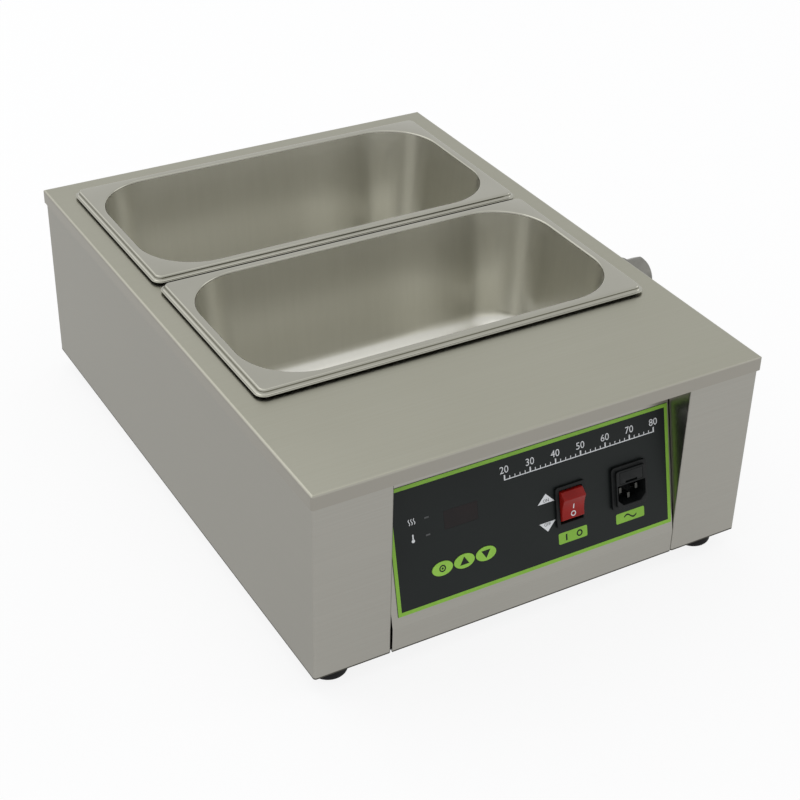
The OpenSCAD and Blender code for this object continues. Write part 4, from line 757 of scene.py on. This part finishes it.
def disc_outline(u, v, across, count):
    return [(u + across / 2 * math.cos(2 * math.pi * i / count),
             v + across / 2 * math.sin(2 * math.pi * i / count)) for i in range(count)]


def ring_outlines(u, v, outer, inner):
    """A ring as a row of four-sided plates, because a plate has no hole."""
    def at(radius, i):
        a = 2 * math.pi * i / ROUND_STEPS
        return (u + radius * math.cos(a), v + radius * math.sin(a))
    return [[at(inner, i), at(outer, i), at(outer, i + 1), at(inner, i + 1)]
            for i in range(ROUND_STEPS)]


def wave_outline(u, v, length, swing, width):
    upper = [(u - length / 2 + length * i / WAVE_STEPS,
              v + swing * math.sin(2 * math.pi * i / WAVE_STEPS) + width / 2)
             for i in range(WAVE_STEPS + 1)]
    lower = [(a, b - width) for a, b in upper]
    return lower + list(reversed(upper))


print("a ring has", len(ring_outlines(0, 0, 2, 1)), "plates")

# %% [markdown]
# ## Green frame and tags
# A bright frame runs along the film's edge, with a tag under the switch and one under the inlet.
# One outline with a hole could make the frame, but a face has no hole. So the frame is four bars,
# and the tags are boxes with rounded corners. They are one ink, so they are one piece.

# %% Green frame and tags
OVERLAY_W, OVERLAY_H, OVERLAY_U, OVERLAY_V = 232, 95, 2, 7.6
BORDER = 2.8
left, far_end = OVERLAY_U - OVERLAY_W / 2, OVERLAY_U + OVERLAY_W / 2
bottom, top = OVERLAY_V, OVERLAY_V + OVERLAY_H
SWITCH_TAG, INLET_TAG = (31.2, 24.4, 24.5, 8.7), (81.5, 24.2, 25, 8)
TAG_R = 1.2


def tag_outline(u, v, w, h):
    return [(u + x, v + y) for x, y in rounded_loop(w / 2, h / 2, TAG_R)]


frame_bars = [
    box_outline((left + far_end) / 2, bottom + BORDER / 2, OVERLAY_W, BORDER),
    box_outline((left + far_end) / 2, top - BORDER / 2, OVERLAY_W, BORDER),
    box_outline(left + BORDER / 2, (bottom + top) / 2, BORDER, OVERLAY_H - 2 * BORDER),
    box_outline(far_end - BORDER / 2, (bottom + top) / 2, BORDER, OVERLAY_H - 2 * BORDER),
    tag_outline(*SWITCH_TAG), tag_outline(*INLET_TAG)]
green_print = finish_piece("green_print", plate_of(frame_bars, on_film, INK_T), green_ink, "casing")
print(green_print.name, len(frame_bars), "plates")

# %% [markdown]
# ## Numbers
# Numbers and ON and OFF come from Blender's own font. A text object could stay in the scene, but
# the export wants a mesh that lies on the leaning face. So the text is filled, made a mesh, and
# each of its points is placed on its surface.

# %% Lettering
CAPITAL_SHARE = 0.69
LETTER_STEPS = 4


def lettering(words, tall_mm, u, v, place, thick):
    """Words as a mesh: the text is filled flat, then each point is placed on its surface."""
    text = bpy.data.curves.new("words", "FONT")
    text.body = words
    text.size = tall_mm * MM / CAPITAL_SHARE
    text.align_x = "CENTER"
    text.align_y = "CENTER"
    text.extrude = thick * MM / 2
    text.resolution_u = LETTER_STEPS
    holder = bpy.data.objects.new("words", text)
    scene.collection.objects.link(holder)
    mesh = bpy.data.meshes.new_from_object(holder.evaluated_get(bpy.context.evaluated_depsgraph_get()))
    bpy.data.objects.remove(holder)
    bm = bmesh.new()
    bm.from_mesh(mesh)
    for vert in bm.verts:
        vert.co = place(u + vert.co.x / MM, v + vert.co.y / MM, vert.co.z / MM + thick / 2)
    bmesh.ops.recalc_face_normals(bm, faces=bm.faces)
    return bm


def join(parts):
    whole = bmesh.new()
    for part in parts:
        mesh = bpy.data.meshes.new("part")
        part.to_mesh(mesh)
        part.free()
        whole.from_mesh(mesh)
        bpy.data.meshes.remove(mesh)
    return whole


print("capitals fill", CAPITAL_SHARE, "of the font's size")

# %% [markdown]
# ## White print
# Beside the switch stand two pointers, one up and one down. Above it runs a plain scale with a
# long stroke at each number and four short ones between. At the left, three waves stand for heat
# and a small bulb with a stem for temperature. An array could repeat the strokes, but one list
# of places serves the strokes and the numbers alike.

# %% White pointers, scale and small signs
POINTER_UP = [(3.2, 56), (17.2, 56), (10.2, 63.2)]
POINTER_DOWN = [(3.55, 41), (10.3, 33.6), (17.05, 41)]
SCALE_FROM, SCALE_TO, SCALE_V = -22, 105, 85.6
SCALE_MARKS = [20, 30, 40, 50, 60, 70, 80]
NUMBER_H, NUMBER_RISE = 5.2, 5.4
LONG_TICK, SHORT_TICK = (1.1, 3.4), (0.6, 2.0)
SHORT_DROP, LINE_DROP, LINE_W = 0.7, 2.0, 0.7
PARTS = 5
spread = (SCALE_TO - SCALE_FROM) / (len(SCALE_MARKS) - 1)
places = [SCALE_FROM + i * spread for i in range(len(SCALE_MARKS))]
ticks = [box_outline(u, SCALE_V, *LONG_TICK) for u in places]
ticks += [box_outline(u + spread * part / PARTS, SCALE_V - SHORT_DROP, *SHORT_TICK)
          for u in places[:-1] for part in range(1, PARTS)]
ticks.append(box_outline((SCALE_FROM + SCALE_TO) / 2, SCALE_V - LINE_DROP,
                         SCALE_TO - SCALE_FROM + LONG_TICK[0], LINE_W))
white_parts = [plate_of([POINTER_UP, POINTER_DOWN] + ticks, on_film, INK_T)]
white_parts += [lettering(str(mark), NUMBER_H, u, SCALE_V + NUMBER_RISE, on_film, INK_T)
                for mark, u in zip(SCALE_MARKS, places)]

SIGN_U, HEAT_V, STEM_V, BULB_V = -97, 75, 63.4, 60.6
HEAT_PITCH, HEAT_L, HEAT_SWING, HEAT_W = 2.0, 4.6, 0.5, 0.6
STEM_W, STEM_L, BULB_D, BULB_STEPS = 1.0, 4.2, 2.6, 16
heat_sign = [[(SIGN_U + HEAT_PITCH * i + b, HEAT_V + a)
              for a, b in wave_outline(0, 0, HEAT_L, HEAT_SWING, HEAT_W)] for i in (-1, 0, 1)]
bulb_sign = [box_outline(SIGN_U, STEM_V, STEM_W, STEM_L),
             disc_outline(SIGN_U, BULB_V, BULB_D, BULB_STEPS)]
white_parts.append(plate_of(heat_sign + bulb_sign, on_film, INK_T))
white_print = finish_piece("white_print", join(white_parts), white_ink, "casing")
print(white_print.name, len(white_print.data.polygons), "faces")

# %% [markdown]
# ## Dark signs
# The tags carry I and O for the switch and a wave for alternating current, and the pointers
# carry ON and OFF. They could be gaps in the other inks, but narrow gaps are hard to mesh. This
# ink is printed over the others instead, so it lies one layer higher.

# %% Dark signs on the tags and pointers
STROKE_U, RING_U = 25.6, 36.8
STROKE_W, STROKE_H = 1.3, 5.0
RING_R, RING_HOLE_R = 2.6, 1.5
WAVE_L, WAVE_SWING, WAVE_W = 11, 1.5, 1.3
WORD_H, ON_PLACE, OFF_PLACE = 2.2, (10.2, 57.8), (10.3, 39.2)
tag_v = SWITCH_TAG[1]


def over_ink(u, v, w):
    return on_film(u, v, INK_T + w)


dark_parts = [
    plate_of([box_outline(STROKE_U, tag_v, STROKE_W, STROKE_H)]
             + ring_outlines(RING_U, tag_v, RING_R, RING_HOLE_R), over_ink, INK_T),
    plate_of([wave_outline(INLET_TAG[0], INLET_TAG[1], WAVE_L, WAVE_SWING, WAVE_W)], over_ink, INK_T),
    lettering("ON", WORD_H, *ON_PLACE, over_ink, INK_T),
    lettering("OFF", WORD_H, *OFF_PLACE, over_ink, INK_T)]
dark_print = finish_piece("dark_print", join(dark_parts), black_ink, "casing")
print(dark_print.name, len(dark_print.data.polygons), "faces")

# %% [markdown]
# ## Signs on the keys
# The three oval keys carry a ring with a dot, a triangle up and a triangle down. One piece could
# hold all three signs. But each has to move with its key when the key is pressed, so each is a
# piece of its own.

# %% Signs on the keys
KEY_V, KEY_RISE = 33.4, 0.35
KEY_TOP = FILM_T + KEY_RISE
SET_U, UP_U, DOWN_U = -76.8, -59.2, -41.6
SET_R, SET_HOLE_R, DOT_D, DOT_STEPS = 2.7, 1.7, 1.7, 14
ARROW_HALF, ARROW_BASE, ARROW_TIP = 3.7, 2.6, 3.4


def on_key(u, v, w):
    return on_face(u, v, KEY_TOP + w)


KEY_SIGNS = {
    "set_key": ring_outlines(SET_U, KEY_V, SET_R, SET_HOLE_R)
    + [disc_outline(SET_U, KEY_V, DOT_D, DOT_STEPS)],
    "up_key": [[(UP_U - ARROW_HALF, KEY_V - ARROW_BASE), (UP_U + ARROW_HALF, KEY_V - ARROW_BASE),
                (UP_U, KEY_V + ARROW_TIP)]],
    "down_key": [[(DOWN_U - ARROW_HALF, KEY_V + ARROW_BASE), (DOWN_U, KEY_V - ARROW_TIP),
                  (DOWN_U + ARROW_HALF, KEY_V + ARROW_BASE)]],
}
for key, outlines in KEY_SIGNS.items():
    sign = finish_piece(key + "_sign", plate_of(outlines, on_key, INK_T), black_ink, key)
    print(sign.name, len(outlines), "plates")

# %% [markdown]
# ## Signs on the rocker
# The rocker's face is a shallow dish that stands tilted at rest. Its I and O are printed into the
# dish. Flat plates would cut through it, so each point is lifted by the dish's own curve, and
# the stroke of the I is split into short plates that follow it.

# %% Signs on the rocker
TILT = math.radians(12)
SWITCH_U, SWITCH_V = 30, 49.6
ROCKER_HALF, CREST_SHARE = 12.8, 0.66
CREST, DISH, CREST_V = 6.5, 1.3, ROCKER_HALF * CREST_SHARE
DISH_R = (CREST_V ** 2 + DISH ** 2) / (2 * DISH)
SIGN_LIFT, SIGN_T = 0.02, 0.05
BAR_W, BAR_V, BAR_PLATES = 0.8, 2.6, 5
ZERO_V, ZERO_R, ZERO_HOLE_R = -5.0, 2.1, 1.35


def on_rocker(u, v, w):
    rise = CREST - DISH + DISH_R - math.sqrt(DISH_R ** 2 - v ** 2) + SIGN_LIFT + w
    return on_face(SWITCH_U + u, SWITCH_V + v * math.cos(TILT) - rise * math.sin(TILT),
                   v * math.sin(TILT) + rise * math.cos(TILT))


rocker_signs = [box_outline(0, BAR_V - BAR_W * i, BAR_W, BAR_W) for i in range(BAR_PLATES)]
rocker_signs += ring_outlines(0, ZERO_V, ZERO_R, ZERO_HOLE_R)
rocker_print = finish_piece("rocker_signs", plate_of(rocker_signs, on_rocker, SIGN_T), white_ink,
                            "rocker")
print(rocker_print.name, len(rocker_signs), "plates")

# %% [markdown]
# ## One screw
# Pan-head screws with a cross recess hold the casing together at the back and underneath. They
# could be copied by a loop. They all have the same shape, so Geometry Nodes make one screw from
# its sizes: a low rim, a dome on it, a cross cut into the head, and a shank below.

# %% Sizes of a screw
# Sizes in millimetres, and further ones as a share of one of them
SCREW_SIZES = {"Head Radius": 4.0, "Head Height": 2.2, "Shank Radius": 2.0, "Shank Length": 8.0,
               "Recess Length": 4.4, "Recess Width": 0.9, "Recess Depth": 1.3}
SCREW_SHARES = {"rim height": ("Head Height", 0.45), "rim top": ("Head Radius", 0.96),
                "dome top": ("Head Radius", 0.62), "bar height": ("Recess Depth", 2),
                "shank middle": ("Shank Length", -0.5)}
screw_tree = bpy.data.node_groups.new("pan_head_screws", "GeometryNodeTree")
screw_sockets = screw_tree.interface
screw_sockets.new_socket("Geometry", in_out="INPUT", socket_type="NodeSocketGeometry")
sockets = {name: screw_sockets.new_socket(name, in_out="INPUT", socket_type="NodeSocketFloat")
           for name in SCREW_SIZES}
screw_sockets.new_socket("Geometry", in_out="OUTPUT", socket_type="NodeSocketGeometry")
given = add(screw_tree, "NodeGroupInput").outputs
shares = {name: add(screw_tree, "ShaderNodeMath", operation="MULTIPLY", links={0: given[size]},
                    values={1: share}).outputs[0]
          for name, (size, share) in SCREW_SHARES.items()}
dome_height = add(screw_tree, "ShaderNodeMath", operation="SUBTRACT",
                  links={0: given["Head Height"], 1: shares["rim height"]}).outputs[0]
print("screw tree with", len(SCREW_SIZES), "sizes and", len(shares), "shares of them")

# %% Solids of a screw
HEAD_SIDES, SHANK_SIDES = 32, 20
rim = add(screw_tree, "GeometryNodeMeshCone", values={"Vertices": HEAD_SIDES},
          links={"Radius Top": shares["rim top"], "Radius Bottom": given["Head Radius"],
                 "Depth": shares["rim height"]}).outputs["Mesh"]
dome = add(screw_tree, "GeometryNodeMeshCone", values={"Vertices": HEAD_SIDES},
           links={"Radius Top": shares["dome top"], "Radius Bottom": shares["rim top"],
                  "Depth": dome_height}).outputs["Mesh"]
shank = add(screw_tree, "GeometryNodeMeshCylinder", values={"Vertices": SHANK_SIDES},
            links={"Radius": given["Shank Radius"], "Depth": given["Shank Length"]}).outputs["Mesh"]
heights = [(dome, shares["rim height"]), (shank, shares["shank middle"])]
for along_x, along_y in (("Recess Length", "Recess Width"), ("Recess Width", "Recess Length")):
    size = add(screw_tree, "ShaderNodeCombineXYZ",
               links={"X": given[along_x], "Y": given[along_y], "Z": shares["bar height"]})
    bar = add(screw_tree, "GeometryNodeMeshCube", links={"Size": size.outputs[0]})
    heights.append((bar.outputs["Mesh"], given["Head Height"]))
moved = []
for solid, height in heights:
    upwards = add(screw_tree, "ShaderNodeCombineXYZ", links={"Z": height}).outputs[0]
    moved.append(add(screw_tree, "GeometryNodeTransform",
                     links={"Geometry": solid, "Translation": upwards}).outputs[0])
dome, shank, *bars = moved
print("a rim, a dome, a shank and", len(bars), "bars for the recess")

# %% Head with its recess
head = add(screw_tree, "GeometryNodeMeshBoolean", operation="UNION")
for part in (rim, dome):
    screw_tree.links.new(part, head.inputs[1])
cut_head = add(screw_tree, "GeometryNodeMeshBoolean", operation="DIFFERENCE",
               links={0: head.outputs["Mesh"]})
for bar in bars:
    screw_tree.links.new(bar, cut_head.inputs[1])
screw = add(screw_tree, "GeometryNodeJoinGeometry")
for part in (cut_head.outputs["Mesh"], shank):
    screw_tree.links.new(part, screw.inputs[0])
print("one screw in", len(screw_tree.nodes), "nodes")

# %% [markdown]
# ## A screw on every point
# The same screw sits in many places. Copies could be turned one by one, but the second half of
# the tree sets it on a list of points. Each point carries the direction in which the head looks,
# as a named attribute. The tree ends in real geometry with a material, because instances don't
# survive an export.

# %% Screws on points
facing = add(screw_tree, "GeometryNodeInputNamedAttribute", data_type="FLOAT_VECTOR",
             values={"Name": "facing"})
turned = add(screw_tree, "FunctionNodeAlignRotationToVector", axis="Z",
             links={"Vector": facing.outputs["Attribute"]})
placed = add(screw_tree, "GeometryNodeInstanceOnPoints",
             links={"Points": given["Geometry"], "Instance": screw.outputs[0],
                    "Rotation": turned.outputs[0]})
real = add(screw_tree, "GeometryNodeRealizeInstances", links={"Geometry": placed.outputs[0]})
metal = add(screw_tree, "GeometryNodeSetMaterial", values={"Material": screw_steel},
            links={"Geometry": real.outputs[0]})
add(screw_tree, "NodeGroupOutput", links={"Geometry": metal.outputs[0]})
print("screw tree of", len(screw_tree.nodes), "nodes")

# %% [markdown]
# ## Screws on the casing
# Ten screws look down through the flanges of the base, three close each side of the rear wall,
# and two hold the cover's rear lip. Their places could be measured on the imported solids. The
# sizes of the sheets give the same places, and show why the screws sit there.

# %% Screws on the casing
# Sizes in millimetres
WALL_X, WALL_Y, CASING_H = 179.5, 244.5, 154
FLANGE, SIDE_SHARE, SLOT_HALF = 15, 0.62, 120
REAR_SHARES = (0.2, 0.5, 0.76)
LIP_STEP, LIP_DROP = 1.5, 5.5
SCREW_SMOOTH_DEG = 30
DOWN, REARWARD = (0, 0, -1), (0, 1, 0)
line_x = WALL_X - FLANGE / 2
spots = [((sx * line_x, sy * WALL_Y * SIDE_SHARE, FOOT_Z), DOWN) for sx in (-1, 1) for sy in (-1, 0, 1)]
spots += [((sx * SLOT_HALF / 2, WALL_Y - FLANGE / 2, FOOT_Z), DOWN) for sx in (-1, 1)]
spots += [((sx * SLOT_HALF * SIDE_SHARE, -WALL_Y + FLANGE / 2, FOOT_Z), DOWN) for sx in (-1, 1)]
spots += [((sx * line_x, WALL_Y, FOOT_Z + CASING_H * share), REARWARD) for sx in (-1, 1)
          for share in REAR_SHARES]
spots += [((sx * line_x, WALL_Y + LIP_STEP, FOOT_Z + CASING_H - LIP_DROP), REARWARD) for sx in (-1, 1)]
point_mesh = bpy.data.meshes.new("screw_points")
point_mesh.from_pydata([Vector(spot) * MM for spot, way in spots], [], [])
ways = point_mesh.attributes.new("facing", "FLOAT_VECTOR", "POINT")
for item, (spot, way) in zip(ways.data, spots):
    item.vector = way
points = bpy.data.objects.new("screw_points", point_mesh)
scene.collection.objects.link(points)
builder = points.modifiers.new("screws", "NODES")
builder.node_group = screw_tree
for name, size in SCREW_SIZES.items():
    builder[sockets[name].identifier] = size * MM
made = bpy.data.meshes.new_from_object(points.evaluated_get(bpy.context.evaluated_depsgraph_get()))
points.modifiers.remove(builder)
bpy.data.objects.remove(points)
bm = bmesh.new()
bm.from_mesh(made)
screws = finish_piece("cross_head_screws", bm, screw_steel, "casing", ["casing_screws"],
                      SCREW_SMOOTH_DEG)
print(screws.name, len(spots), "screws,", len(screws.data.polygons), "faces")
